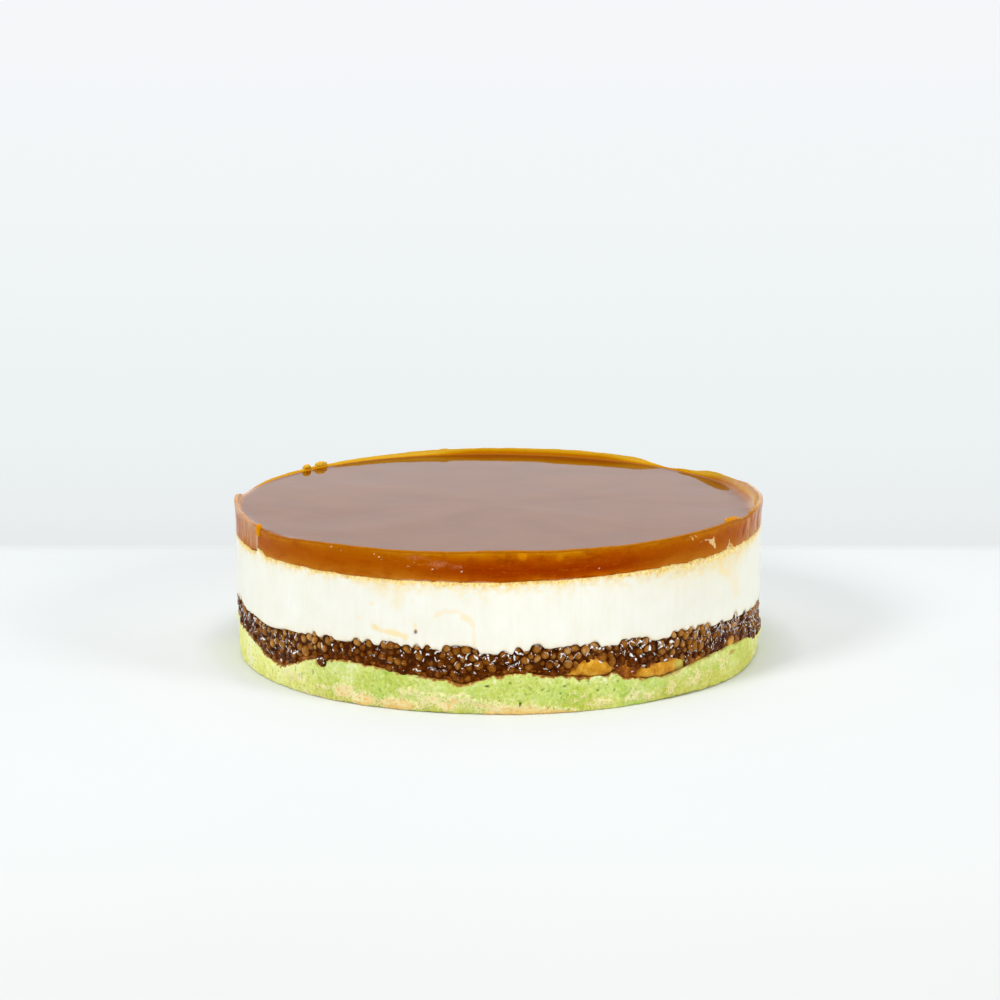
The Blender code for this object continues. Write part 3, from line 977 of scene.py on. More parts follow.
def build_syrup(front):
    """The dark syrup that holds the pearls, drawn up round each of them."""
    n, m = 1240, 26
    az = np.linspace(-180.0, 180.0, n, endpoint=False)
    low, high = pearls_floor(az) - 1.0, pearls_top(az) + 0.6
    share = np.linspace(1.0, 0.0, m)[:, None]
    z = low + (high - low) * share
    around = 2 * math.pi * RADIUS
    rows = []
    for a, h, s, _ in front:
        x = math.radians(a + 180.0) * RADIUS
        rows.append((x, h, s))
        if x < 4:
            rows.append((x + around, h, s))
        if x > around - 4:
            rows.append((x - around, h, s))
    tree = KDTree(len(rows))
    for k, (x, h, s) in enumerate(rows):
        tree.insert((x, h, 0.0), k)
    tree.balance()
    sizes = np.array(rows)[:, 2]
    lift = np.zeros((m, n))
    for j in range(n):
        x = math.radians(az[j] + 180.0) * RADIUS
        for i in range(m):
            total = 0.0
            for _, k, d in tree.find_n((x, z[i, j], 0.0), 3):
                total += math.exp(-max(d - sizes[k] * 0.8, 0.0) / 0.42)
            lift[i, j] = total
    base = round_points(az + 0 * z, RADIUS, z)
    radius = RADIUS - 1.75 + 0.6 * np.clip(lift, 0, 1.6) + 0.25 * layers(base, 2.0, 140, 2)
    radius = radius + 0.5 * smooth(1.2, -0.2, z - pearls_floor(az))
    radius = np.minimum(radius, RADIUS - 0.4)
    side = round_points(az + 0 * z, radius, z)
    above = [round_points(az, r, pearls_top(az, r) - 0.6) for r in (30.0, 70.0, 84.0)]
    under = [round_points(az, r, sponge_top(az, r) + 0.1) for r in (84.0, 70.0, 30.0)]
    rows = np.concatenate([np.stack(above), side, np.stack(under)])
    flat = np.zeros((3, n))
    foot = smooth(3.0, 0.6, z - pearls_floor(az)) * (0.6 + 0.5 * value(base, 4.0, 143))
    attributes = {
        "lift": np.concatenate([flat, np.clip(lift, 0, 1.6) / 1.6, flat]),
        "foot": np.concatenate([flat, np.clip(foot, 0, 1), flat]),
    }
    sections = (
        (0, 2, "disc", (0.76, 0.02, 0.98, 0.24), 1),
        (2, 3 + m, "strip", (0.0, 0.26, 1.0, 1.0), 6),
        (3 + m, len(rows) - 1, "disc", (0.02, 0.02, 0.24, 0.24), 1),
    )
    obj = closed_shell(
        "palm_sugar_syrup", rows, attributes, sections, (0, 0, PEARLS_TOP - 0.6), (0, 0, SPONGE_HEIGHT + 0.1)
    )
    p = Paint("palm_sugar_syrup", 0.08)
    cloud = p.noise(2.2, 2.0, 0.5)
    grain = p.noise(0.7, 2.0, 0.6)
    colour = p.ramp(cloud, ((0.3, srgb(48, 13, 0)), (0.5, srgb(68, 25, 0)), (0.7, srgb(104, 50, 2))))
    redder = p.ramp(p.total(cloud, (grain, 0.8)), ((0.3, srgb(66, 24, 0)), (0.5, srgb(96, 42, 2)), (0.7, srgb(130, 70, 12))))
    colour = p.mix(p.attribute("foot"), colour, redder)
    p.to("Base Color", colour)
    p.to("Roughness", p.math("MULTIPLY_ADD", cloud, 0.16, 0.02))
    p.shader.inputs["Specular IOR Level"].default_value = 0.12
    p.shader.inputs["Specular Tint"].default_value = (1.0, 0.6, 0.25, 1.0)
    p.bump(p.noise(0.9, 2.0, 0.5), 0.22, 0.8)
    obj.data.materials.append(p.mat)
    return obj


# ---------------------------------------------------------------- the mousse
# Tan marks: (points as (azimuth, height), half width mm, strength)
STROKES = (
    (((-26.7, 27.0), (-25.0, 26.0), (-22.6, 25.7), (-19.3, 24.7)), 0.75, 0.55),
    (((-13.0, 32.0), (-11.0, 33.9), (-8.3, 33.8), (-6.2, 32.2), (-5.2, 29.4)), 0.6, 0.3),
    (((-7.4, 32.3), (-6.2, 31.4)), 0.8, 0.35),
    (((-5.1, 30.0), (-5.0, 25.4), (-5.1, 21.8)), 0.45, 0.26),
    (((54.6, 42.5), (54.8, 39.0), (57.6, 37.0)), 1.7, 0.4),
    (((57.5, 38.0), (60.2, 34.5), (61.5, 31.0)), 3.2, 0.2),
    (((61.0, 33.0), (62.6, 30.4), (63.4, 28.6)), 2.0, 0.1),
    (((47.4, 42.0), (47.2, 39.2)), 0.5, 0.3),
    (((50.6, 43.0), (51.4, 40.0)), 0.9, 0.24),
    (((-30.3, 29.3), (-29.8, 29.0)), 0.5, 0.28),
    (((-27.2, 34.6), (-26.8, 34.3)), 0.6, 0.25),
    (((-25.2, 42.5), (-24.6, 39.5)), 2.4, 0.22),
    (((-20.6, 42.5), (-20.9, 38.0), (-21.4, 35.0)), 2.0, 0.2),
    (((-29.0, 42.5), (-28.4, 41.0)), 1.6, 0.2),
    (((-17.4, 28.9), (-17.2, 27.1)), 0.45, 0.4),
    (((98.0, 36.0), (101.0, 33.0), (103.0, 28.5)), 1.3, 0.3),
    (((122.0, 27.0), (126.0, 26.0), (129.5, 26.6)), 0.8, 0.45),
    (((146.0, 38.0), (146.4, 31.0)), 0.6, 0.3),
    (((168.0, 30.0), (171.0, 32.6), (175.0, 31.8), (177.0, 28.0)), 0.7, 0.32),
    (((-163.0, 35.0), (-161.5, 30.0), (-158.0, 28.0)), 1.4, 0.3),
    (((-138.0, 25.5), (-134.0, 26.5)), 0.8, 0.45),
    (((-112.0, 38.0), (-111.0, 33.0)), 1.2, 0.3),
    (((-97.0, 29.0), (-94.0, 28.0)), 0.7, 0.35),
)


def stroke_mask(azimuth, z, wobble):
    """How strongly each place lies on one of the marks."""
    total = np.zeros(np.broadcast(azimuth, z).shape)
    for path, wide, strength in STROKES:
        middle = path[len(path) // 2][0]
        x = np.radians(off(azimuth, middle)) * RADIUS + 0 * z
        y = z + 0 * x
        nearest = np.full(x.shape, 99.0)
        for (a0, h0), (a1, h1) in zip(path, path[1:]):
            x0, x1 = (math.radians(off(a, middle)) * RADIUS for a in (a0, a1))
            dx, dy = x1 - x0, h1 - h0
            t = np.clip(((x - x0) * dx + (y - h0) * dy) / (dx * dx + dy * dy), 0, 1)
            nearest = np.minimum(nearest, np.hypot(x - x0 - t * dx, y - h0 - t * dy))
        total = np.maximum(total, strength * smooth(2.0, 0.0, nearest / wide + 0.55 * wobble))
    return total


def drawn_up(az, front):
    """The mousse's lower edge, which runs over the tops of the pearls next to it."""
    wall = round_points(az, RADIUS, 0.0)
    top = pearls_top(az)
    edge = top - 0.75 + 0.3 * value(wall, 3.0, 203) + 0.2 * value(wall, 1.5, 204)
    for centre, height, size, inside in front:
        if height < pearls_top(np.array([centre]))[0] - 2.0 or inside > 1.2 * size:
            continue
        x = np.radians(off(az, centre)) * RADIUS
        dome = height + 0.9 * np.sqrt(np.clip(size * size - x * x, 0.0, None)) - 2.0 * (np.abs(x) >= size)
        edge = np.maximum(edge, np.minimum(dome, top + 1.2))
    return (np.roll(edge, 1) + 2.0 * edge + np.roll(edge, -1)) / 4.0


def build_mousse(front):
    n, m = 1400, 44
    az = np.linspace(-180.0, 180.0, n, endpoint=False)
    wall = round_points(az, RADIUS, 0.0)
    ragged = window(az, -12.0, 75.0, 10.0)
    top = caramel_foot(az) + 0.12
    low = drawn_up(az, front)
    share = np.linspace(1.0, 0.0, m)[:, None] ** 1.15
    z = low + (top - low) * share
    base = round_points(az + 0 * z, RADIUS, z)
    upright = layers(base * (1.0, 1.0, 0.12), 2.4, 211, 2)
    relief = 0.03 * upright + 0.05 * layers(base, 6.0, 213, 2) + 0.025 * value(base, 1.1, 214)
    near, second, tag = cells(base, 3.4, 221)
    pit = np.where(tag < 0.16, np.clip(1.0 - near / 0.45, 0, 1), 0.0)
    below = (1.0 - share) * (top - low)
    crumbly = (0.25 + 0.75 * ragged) * smooth(3.6, 0.2, below) * 0.17 * layers(base, 1.3, 231, 2)
    edge_top = 0.3 * np.clip(1.0 - below / 0.3, 0, 1) ** 2
    above_low = share * (top - low)
    edge_low = 0.5 * np.clip(1.0 - above_low / 0.45, 0, 1) ** 2
    radius = RADIUS - 0.06 + relief + crumbly - 0.3 * pit - edge_top - edge_low
    reach = 0.85 + 0.35 * value(wall + 5.0, 9.0, 241) + 0.75 * window(az, -12.0, 38.0, 9.0)
    reach = reach + 0.7 * window(az, -28.0, -18.0, 4.0) + 0.3 * window(az, -66.0, -56.0, 2.0)
    reach = reach + 2.4 * window(az, 36.0, 68.0, 8.0)
    mottle = layers(base, 1.5, 251, 3, 0.6)
    bleed = np.exp(-np.maximum(below - 0.5, 0.0) / np.maximum(reach + 0.7 * mottle, 0.3))
    bleed = bleed * np.clip(0.95 + 0.3 * mottle, 0, 1.1)
    flecks = smooth(0.25, 0.75, layers(base + 40.0, 1.9, 261, 3, 0.6)) * smooth(10.0, 1.0, below)
    flecks = flecks * np.clip(0.4 + 0.8 * value(wall + 70.0, 14.0, 265), 0.1, 1)
    marks = stroke_mask(az, z, mottle)
    speck = smooth(1.2, 0.4, np.hypot(np.radians(off(az, -17.2)) * RADIUS / 0.62, (z - 26.6) / 0.8))
    radius = radius + 0.25 * speck
    side = round_points(az + 0 * z, radius, z)
    above = [round_points(az, r, mousse_top(az, r) - 0.3) for r in (30.0, 70.0, 86.0)]
    under = [
        round_points(az, r, pearls_top(az, r) + 0.2) for r in (86.4, 84.0, 70.0, 30.0)
    ]
    rows = np.concatenate([np.stack(above), side, np.stack(under)])
    t, b = np.zeros((3, n)), np.zeros((4, n))
    attributes = {
        "bleed": np.concatenate([t + 0.8, np.clip(bleed, 0, 1), b]),
        "marks": np.concatenate([t, np.maximum(marks, 0.24 * flecks), b]),
        "speck": np.concatenate([t, speck, b]),
        "warm": np.concatenate([t, 0 * z + smooth(20.0, 80.0, az), b]),
        "wept": np.concatenate([t, smooth(2.2, 0.0, above_low + 0.5 * mottle), b]),
    }
    sections = (
        (0, 2, "disc", (0.84, 0.005, 0.98, 0.145), 1),
        (2, 3 + m, "strip", (0.0, 0.16, 1.0, 1.0), 5),
        (3 + m, len(rows) - 1, "disc", (0.02, 0.005, 0.16, 0.145), 1),
    )
    obj = closed_shell(
        "mousse", rows, attributes, sections, (0, 0, MOUSSE_TOP - 0.3), (0, 0, PEARLS_TOP + 0.2)
    )
    p = Paint("coconut_mousse", 0.45)
    cloud = p.noise(9.0, 2.0, 0.5)
    fine = p.noise(0.7, 3.0, 0.65)
    crumbs = p.noise(1.3, 2.0, 0.6)
    streak = p.noise(1.4, 2.0, 0.6, p.stretched((1.0, 1.0, 0.09)))
    white = p.ramp(cloud, ((0.3, srgb(247, 245, 231)), (0.7, srgb(251, 250, 240))))
    white = p.mix(p.ramp(streak, ((0.42, 0.0), (0.7, 0.5))), white, srgb(245, 242, 226))
    # Painted shade: to the right of the front and round the back on that side the mousse is painted greyer, where
    # less light reaches it.
    white = p.mix(p.math("MULTIPLY", p.attribute("warm"), 0.35), white, srgb(241, 239, 222))
    tan = p.ramp(
        p.total(fine, (crumbs, 0.5)),
        ((0.28, srgb(222, 160, 56)), (0.42, srgb(242, 200, 98)), (0.56, srgb(250, 226, 146)), (0.72, srgb(253, 241, 192))),
    )
    soak = p.math("MULTIPLY_ADD", p.math("MULTIPLY", p.attribute("bleed"), 1.3), 1.0, 0.0)
    soak = p.math("ADD", soak, p.math("MULTIPLY", p.total(0.0, (fine, 1.3), (crumbs, 0.9)), p.ramp(p.attribute("bleed"), ((0.02, 0.0), (0.2, 1.0), (0.8, 0.7)))), clamp=True)
    colour = p.mix(soak, white, tan)
    marks = p.total(p.math("MULTIPLY", p.attribute("marks"), 0.95), (fine, 0.28))
    marks = p.math("MULTIPLY", p.ramp(p.attribute("marks"), ((0.02, 0.0), (0.12, 1.0))), marks, clamp=True)
    colour = p.mix(marks, colour, srgb(255, 216, 96))
    colour = p.mix(p.math("MULTIPLY", p.attribute("wept"), 0.3), colour, srgb(240, 214, 160))
    colour = p.mix(p.attribute("speck"), colour, srgb(112, 44, 16))
    p.to("Base Color", colour)
    p.to("Roughness", p.math("MULTIPLY_ADD", fine, 0.2, 0.36))
    p.shader.inputs["Specular IOR Level"].default_value = 0.3
    p.bump(p.math("ADD", fine, p.math("MULTIPLY", streak, 1.2)), 0.05, 0.7)
    obj.data.materials.append(p.mat)
    return obj


# Milk that ran over the pearls, and white highlights painted on the pearls and on the soaked lobes: (points as
# (azimuth, height mm), half width mm)
RUNS_AND_HIGHLIGHTS = (
    (((-41.2, 12.8), (-40.7, 13.5), (-39.9, 13.7), (-39.4, 13.3)), 0.24),
    (((-39.2, 12.7), (-39.1, 12.1)), 0.2),
    (((-20.9, 20.1), (-20.4, 18.9), (-20.2, 17.9)), 0.2),
    (((-17.8, 19.2), (-17.1, 20.3), (-16.3, 20.1), (-16.1, 19.1)), 0.3),
    (((-15.4, 18.5), (-14.8, 19.6), (-14.4, 18.9)), 0.26),
    (((-15.6, 17.8), (-15.9, 16.5)), 0.16),
    (((-11.6, 20.8), (-12.7, 20.4), (-13.5, 19.4), (-13.3, 18.1), (-12.9, 17.1)), 0.18),
    (((-10.6, 18.6), (-10.0, 18.0)), 0.2),
    (((-11.4, 16.3), (-11.0, 15.3)), 0.16),
    (((-8.5, 18.8), (-7.9, 19.8), (-7.7, 18.5)), 0.24),
    (((-6.6, 17.6), (-6.8, 18.9), (-6.2, 20.2), (-5.2, 20.2), (-4.4, 18.9), (-4.2, 18.0)), 0.22),
    (((-6.6, 16.2), (-5.8, 16.9), (-5.0, 16.6), (-4.2, 16.3), (-3.8, 17.3)), 0.24),
    (((-4.0, 19.3), (-3.6, 20.3), (-2.9, 20.9), (-2.3, 20.3), (-2.1, 19.3)), 0.42),
    (((-2.1, 19.3), (-1.9, 18.0), (-1.3, 17.4), (-0.5, 18.4)), 0.24),
    (((0.7, 19.3), (1.5, 20.3), (2.2, 19.0)), 0.14),
    (((2.0, 18.7), (2.0, 21.6), (2.6, 22.3), (3.2, 21.6), (4.2, 19.9)), 0.28),
    (((3.2, 20.0), (3.4, 17.7)), 0.22),
    (((1.3, 17.0), (2.2, 17.7)), 0.2),
    (((4.0, 20.3), (4.6, 20.2), (5.4, 19.6)), 0.3),
    (((4.2, 15.7), (4.6, 15.3)), 0.24),
    (((-18.0, 13.6), (-17.4, 14.7), (-16.5, 13.5)), 0.24),
    (((11.0, 22.8), (11.0, 19.2)), 0.16),
    (((12.7, 20.7), (12.9, 22.0)), 0.2),
    (((16.1, 23.0), (16.9, 23.6), (18.2, 22.8), (18.7, 21.7)), 0.26),
    (((19.1, 20.7), (19.6, 21.3), (20.4, 21.2), (20.9, 20.4)), 0.22),
    (((21.1, 20.1), (21.8, 20.6), (22.7, 19.9)), 0.3),
    (((23.4, 20.7), (23.8, 21.6), (24.5, 21.9), (24.9, 21.1)), 0.4),
    (((27.5, 21.0), (28.5, 21.8), (29.4, 21.0)), 0.16),
    (((29.9, 19.9), (30.9, 21.4), (31.9, 20.1), (31.4, 18.9)), 0.36),
    (((33.6, 22.4), (33.7, 19.8), (33.2, 18.6), (32.9, 17.6)), 0.46),
    (((34.7, 16.6), (35.0, 15.2), (34.2, 14.0)), 0.2),
    (((35.5, 20.4), (36.3, 18.9), (35.7, 17.3)), 0.34),
    (((36.8, 19.1), (37.3, 17.9)), 0.2),
    (((38.4, 19.0), (39.5, 19.4), (39.5, 17.7), (39.0, 16.9)), 0.4),
    (((28.5, 17.9), (29.2, 16.1), (29.9, 15.3)), 0.3),
    (((30.9, 16.7), (31.2, 15.7)), 0.26),
    (((19.8, 17.0), (21.3, 16.3), (22.2, 15.3)), 0.26),
    (((31.4, 12.6), (32.2, 13.1), (31.9, 12.2)), 0.34),
    (((34.7, 13.2), (35.3, 13.1)), 0.2),
    (((36.0, 12.9), (36.3, 12.9)), 0.2),
    (((36.8, 13.4), (37.6, 13.9)), 0.2),
    (((39.0, 14.2), (39.6, 14.4)), 0.2),
    (((29.0, 11.2), (29.5, 11.7)), 0.2),
    (((43.1, 14.1), (43.4, 12.7)), 0.18),
    (((-56.6, 17.1), (-55.8, 14.6)), 0.3),
    (((-54.2, 16.2), (-53.8, 13.2)), 0.16),
    (((-50.4, 19.0), (-50.8, 16.2), (-49.8, 15.5)), 0.26),
    (((-48.3, 19.6), (-48.4, 17.3)), 0.2),
    (((-61.8, 14.0), (-60.3, 13.5)), 0.4),
    (((-65.6, 17.4), (-66.9, 14.6)), 0.3),
    (((-69.5, 19.8), (-69.6, 16.3)), 0.3),
    (((-53.9, 9.2), (-52.8, 8.9)), 0.4),
    (((-49.8, 13.5), (-48.8, 12.5), (-47.7, 13.8)), 0.3),
    (((-40.4, 18.5), (-39.8, 16.3)), 0.22),
    (((-37.6, 18.9), (-36.8, 16.4)), 0.26),
    (((-27.3, 17.4), (-26.6, 16.9)), 0.2),
    (((61.1, 22.4), (61.7, 18.4)), 0.3),
    (((64.3, 21.9), (63.8, 18.4)), 0.36),
    (((68.0, 22.4), (68.1, 17.5)), 0.3),
    (((58.3, 21.6), (59.3, 17.9)), 0.24),
)


def ribbon(x, z, width, out, sides=8):
    """A flattened tube along a path on the side: x along it, z upwards, half widths, and how far
    out it lies, in mm. Also gives how near each point is to its crest."""
    x, z, width, out = (np.asarray(v, float) for v in (x, z, width, out))
    dx, dz = np.gradient(x), np.gradient(z)
    size = np.hypot(dx, dz) + 1e-9
    nx, nz = -dz / size, dx / size
    turn = np.linspace(0, 2 * np.pi, sides, endpoint=False)[:, None]
    across, deep = np.cos(turn) * width, np.sin(turn) * np.minimum(width * 0.7, 0.16)
    px, pz = x + across * nx, z + across * nz
    radius = RADIUS + out + deep
    rings = round_points(np.degrees(px / RADIUS), radius, pz).transpose(1, 0, 2)
    ends = round_points(np.degrees(x[[0, -1]] / RADIUS), RADIUS + out[[0, -1]], z[[0, -1]])
    k = len(x)
    points = np.concatenate([rings.reshape(-1, 3), ends])
    crest = np.clip(np.sin(turn) + 0 * x, 0, 1).T * smooth(0.02, 0.12, width)[:, None]
    crest[[0, -1]] *= 0.3
    at = lambda i, j: i * sides + j % sides
    quads = [
        (at(i, j), at(i, j + 1), at(i + 1, j + 1), at(i + 1, j))
        for i in range(k - 1)
        for j in range(sides)
    ]
    tris = [(k * sides, at(0, j + 1), at(0, j)) for j in range(sides)]
    tris += [(k * sides + 1, at(k - 1, j), at(k - 1, j + 1)) for j in range(sides)]
    return points, np.array(quads), np.array(tris), np.concatenate([crest.ravel(), [0.0, 0.0]])


def along(path, count):
    """Evenly spaced points on a polyline, with its corners rounded a little."""
    path = np.array(path, float)
    run = np.concatenate([[0], np.cumsum(np.hypot(*np.diff(path, axis=0).T))])
    t = np.linspace(0, run[-1], count)
    x, z = np.interp(t, run, path[:, 0]), np.interp(t, run, path[:, 1])
    for _ in range(2):
        x[1:-1] = (x[:-2] + 2 * x[1:-1] + x[2:]) / 4
        z[1:-1] = (z[:-2] + 2 * z[1:-1] + z[2:]) / 4
    return x, z


def build_milk_and_highlights(front):
    """Coconut milk that ran over the pearls, and painted highlights: runs from the mousse, thin white
    arcs round the pearls' upper edges and small white drops, which are painted highlights on the wet pearls."""
    rng = np.random.default_rng(7)
    circle = 2 * math.pi * RADIUS
    reach_of = KDTree(len(front))
    for k, (a, h, s, inside) in enumerate(front):
        reach_of.insert((math.radians(a) * RADIUS, h, 0.0), k)
    reach_of.balance()

    def lie_on(x, z, lift):
        """How far out the pearls reach at each place of a path."""
        out = []
        for px, pz in zip(x, z):
            px = (px + circle / 2) % circle - circle / 2
            best = -1.1
            for _, k, d in reach_of.find_n((px, pz, 0.0), 4):
                a, h, s, inside = front[k]
                if d < s:
                    # the last five stick out of the side
                    limit = 0.44 if k >= len(front) - 5 else 0.02
                    best = max(best, min(math.sqrt(s * s - d * d) - inside, limit))
            out.append(best + lift)
        out = np.array(out)
        for _ in range(2):
            out[1:-1] = (out[:-2] + 2 * out[1:-1] + out[2:]) / 4
        return out

    made = []

    def add(x, z, width, ragged=0.3, lift=0.05, white=1.0):
        count = len(x)
        shape = (1.0 - np.abs(np.linspace(-1, 1, count)) ** 2.2) ** 0.8
        width = width * shape * np.clip(1.0 + rng.normal(0, ragged, count), 0.15, 2.0) + 0.02
        width = np.clip(width, 0.025, 0.62)
        x = x + rng.normal(0, 0.05, count)
        z = z + rng.normal(0, 0.06, count)
        made.append((x, z, width, lie_on(x, z, lift), white))

    for path, width in RUNS_AND_HIGHLIGHTS:
        points = [(math.radians(a) * RADIUS, h) for a, h in path]
        length = sum(math.dist(p, q) for p, q in zip(points, points[1:]))
        x, z = along(points, max(6, min(18, int(length / 0.3) + 4)))
        # a long run is broken up where the milk is too thin
        cut = int(rng.uniform(0.35, 0.65) * len(x)) if len(x) > 11 else len(x)
        add(x[:cut], z[:cut], width * 1.25, 0.45, 0.08)
        if cut < len(x) - 3:
            add(x[cut + 1 :], z[cut + 1 :], width * 1.1, 0.45, 0.08)
    # upright runs where the mousse wept most, and all round the back
    places = [rng.uniform(-80, -50) for _ in range(36)] + [rng.uniform(46, 80) for _ in range(110)]
    places += [rng.uniform(-46, 46) for _ in range(16)]
    places += [(rng.uniform(78, 282) + 180) % 360 - 180 for _ in range(120)]
    for centre in places:
        low, high = (f(np.array([centre]))[0] for f in (pearls_floor, pearls_top))
        start = high + 0.3 - (high - low) * rng.beta(1.0, 2.0)
        long = min(rng.uniform(0.5, 2.6), start - low - 0.3)
        if long < 0.4:
            continue
        t = np.linspace(0, 1, 8)
        x = math.radians(centre) * RADIUS + np.cumsum(rng.normal(0, 0.13, 8)) + rng.normal(0, 0.5) * t
        wide = rng.uniform(0.08, 0.36) * (1.0 - 0.6 * t)
        add(x, start - long * t, wide, 0.35, 0.05, rng.uniform(0.5, 1.0))
    # painted highlights: thin white arcs round the pearls' upper edges
    for centre, height, size, inside in front:
        low, high = (f(np.array([centre]))[0] for f in (pearls_floor, pearls_top))
        rise = (height - low) / (high - low)
        side = smooth(40.0, 60.0, abs(centre)) * (1.0 - smooth(80.0, 95.0, abs(centre)))
        side = side * (1.0 if centre > 0 else -0.2)
        bare = 0.25 * window(np.array([centre]), -50.0, -24.0, 3.0)[0]
        if rng.uniform() > 0.5 + 0.46 * rise + 0.3 * side - bare or inside > 1.35 * size:
            continue
        x0 = math.radians(centre) * RADIUS
        middle = math.pi / 2 + rng.normal(0, 0.7)
        span = rng.uniform(0.35, 1.2) if rng.uniform() < 0.94 or abs(centre) > 38.0 else rng.uniform(1.8, 3.0)
        turn = np.linspace(-1, 1, 7 if span < 1.5 else 11)
        angle = middle + 0.5 * span * turn
        reach = size * rng.uniform(0.6, 0.98) * (1 + rng.normal(0, 0.05, len(turn)))
        add(
            x0 + reach * np.cos(angle),
            height + reach * 0.95 * np.sin(angle),
            rng.uniform(0.07, 0.24) if span < 1.5 else rng.uniform(0.07, 0.18),
            0.5,
            0.05,
            rng.uniform(0.45, 1.0),
        )
    # painted highlights: small white glints scattered over the pearls
    for _ in range(900):
        centre = rng.uniform(-180, 180)
        low, high = (f(np.array([centre]))[0] for f in (pearls_floor, pearls_top))
        height = rng.uniform(low + 0.2, high)
        size = 0.05 + 0.13 * rng.beta(1.2, 2.5)
        x0 = math.radians(centre) * RADIUS
        t = np.array([-1.0, -0.6, 0.0, 0.6, 1.0])
        tilt = rng.uniform(-1.2, 1.2)
        x, z = x0 + t * size * 1.5, height + tilt * t * size
        made.append((x, z, size * np.array([0.3, 0.8, 1.0, 0.8, 0.3]), lie_on(x, z, 0.05), rng.uniform(0.5, 1.0)))
    points, quads_all, tris_all, crests, whites, start = [], [], [], [], [], 0
    for x, z, width, out, white in made:
        spots_, quads, tris, crest = ribbon(x, z, width, out, 6 if len(x) < 6 else 8)
        points.append(spots_)
        quads_all.append(quads + start)
        tris_all.append(tris + start)
        crests.append(crest)
        whites.append(np.full(len(spots_), white))
        start += len(spots_)
    obj = make_mesh(
        "coconut_milk_and_painted_highlights",
        np.concatenate(points),
        [np.concatenate(quads_all), np.concatenate(tris_all)],
        {"crest": np.concatenate(crests), "white": np.concatenate(whites)},
    )
    p = Paint("coconut_milk_film_and_painted_highlights", 0.25)
    fine = p.noise(1.2, 2.0, 0.6)
    grain = p.noise(0.4, 2.0, 0.6)
    thick = p.total(p.math("MULTIPLY", p.attribute("crest"), p.attribute("white")), (fine, 0.9), (grain, 0.7))
    p.to(
        "Base Color",
        p.ramp(
            thick,
            (
                (0.0, srgb(78, 40, 8)),
                (0.22, srgb(140, 106, 72)),
                (0.5, srgb(222, 216, 212)),
                (0.85, srgb(250, 249, 248)),
            ),
        ),
    )
    p.to("Roughness", p.math("MULTIPLY_ADD", fine, 0.2, 0.1))
    p.shader.inputs["Specular IOR Level"].default_value = 0.3
    p.bump(fine, 0.06, 0.6)
    obj.data.materials.append(p.mat)
    return obj


# Scratches and flakes in the caramel's side, some of them round the painted glints below: (points as (azimuth,
# # height mm), half width mm, how strong)
SCRATCHES = (
    (((43.9, 53.0), (44.4, 52.4), (44.9, 51.3)), 0.3, 0.75),
    (((45.2, 52.9), (46.0, 52.2), (46.2, 51.7)), 0.24, 0.7),
    (((42.9, 52.2), (43.4, 51.8)), 0.2, 0.6),
    (((46.2, 49.4), (47.6, 50.5), (49.2, 50.7)), 0.14, 0.55),
    (((48.6, 50.5), (50.0, 50.2), (52.0, 50.0)), 0.2, 0.8),
    (((50.4, 49.6), (51.2, 48.8), (52.3, 47.3)), 0.5, 1.1),
    (((51.7, 50.6), (51.9, 49.2), (52.4, 47.8)), 0.34, 1.0),
    (((51.0, 49.6), (51.5, 49.0)), 0.7, 1.0),
    (((58.2, 48.0), (58.0, 46.6), (57.6, 45.0)), 0.3, 0.9),
    (((58.8, 46.4), (59.4, 45.2), (59.7, 44.2)), 0.5, 0.9),
    (((57.6, 45.4), (58.6, 44.4)), 0.8, 0.95),
    (((-15.2, 48.4), (-14.6, 47.9)), 0.14, 0.4),
    (((-25.6, 50.3), (-24.8, 49.6)), 0.14, 0.4),
    (((-26.9, 50.9), (-26.3, 50.3)), 0.12, 0.4),
    (((-19.4, 48.4), (-18.9, 48.1)), 0.12, 0.4),
    (((-16.6, 48.6), (-15.0, 48.3)), 0.1, 0.35),
    (((-8.2, 47.3), (-7.6, 47.1)), 0.12, 0.4),
    (((102.0, 50.4), (103.5, 49.4), (104.6, 48.0)), 0.6, 1.0),
    (((99.4, 51.2), (100.6, 50.2)), 0.3, 0.7),
    (((150.0, 49.0), (151.4, 48.2)), 0.3, 0.7),
    (((-120.4, 49.6), (-119.0, 48.6), (-118.4, 47.4)), 0.5, 1.0),
    (((-162.0, 49.4), (-160.6, 49.0)), 0.2, 0.6),
)


# Painted highlights: tiny bright glints painted on it: (azimuth, height mm, half size mm)
PAINTED_GLINTS = (
    (-26.4, 50.7, 0.15),
    (-25.2, 49.9, 0.13),
    (-24.7, 49.2, 0.08),
    (-18.7, 47.8, 0.19),
    (-17.4, 49.0, 0.1),
    (-13.5, 47.3, 0.2),
    (-13.9, 47.7, 0.1),
    (-7.5, 46.9, 0.17),
    (-7.9, 46.3, 0.08),
    (-20.0, 50.2, 0.08),
    (-10.4, 48.9, 0.07),
    (-34.4, 50.4, 0.1),
    (-36.8, 51.2, 0.12),
    (-2.4, 47.6, 0.06),
    (21.0, 46.8, 0.08),
    (34.6, 48.4, 0.08),
    (90.0, 48.6, 0.15),
    (127.0, 48.0, 0.2),
    (163.0, 49.2, 0.15),
    (176.0, 47.4, 0.18),
    (-160.0, 48.0, 0.15),
    (-139.0, 49.0, 0.16),
    (-100.0, 49.0, 0.16),
)


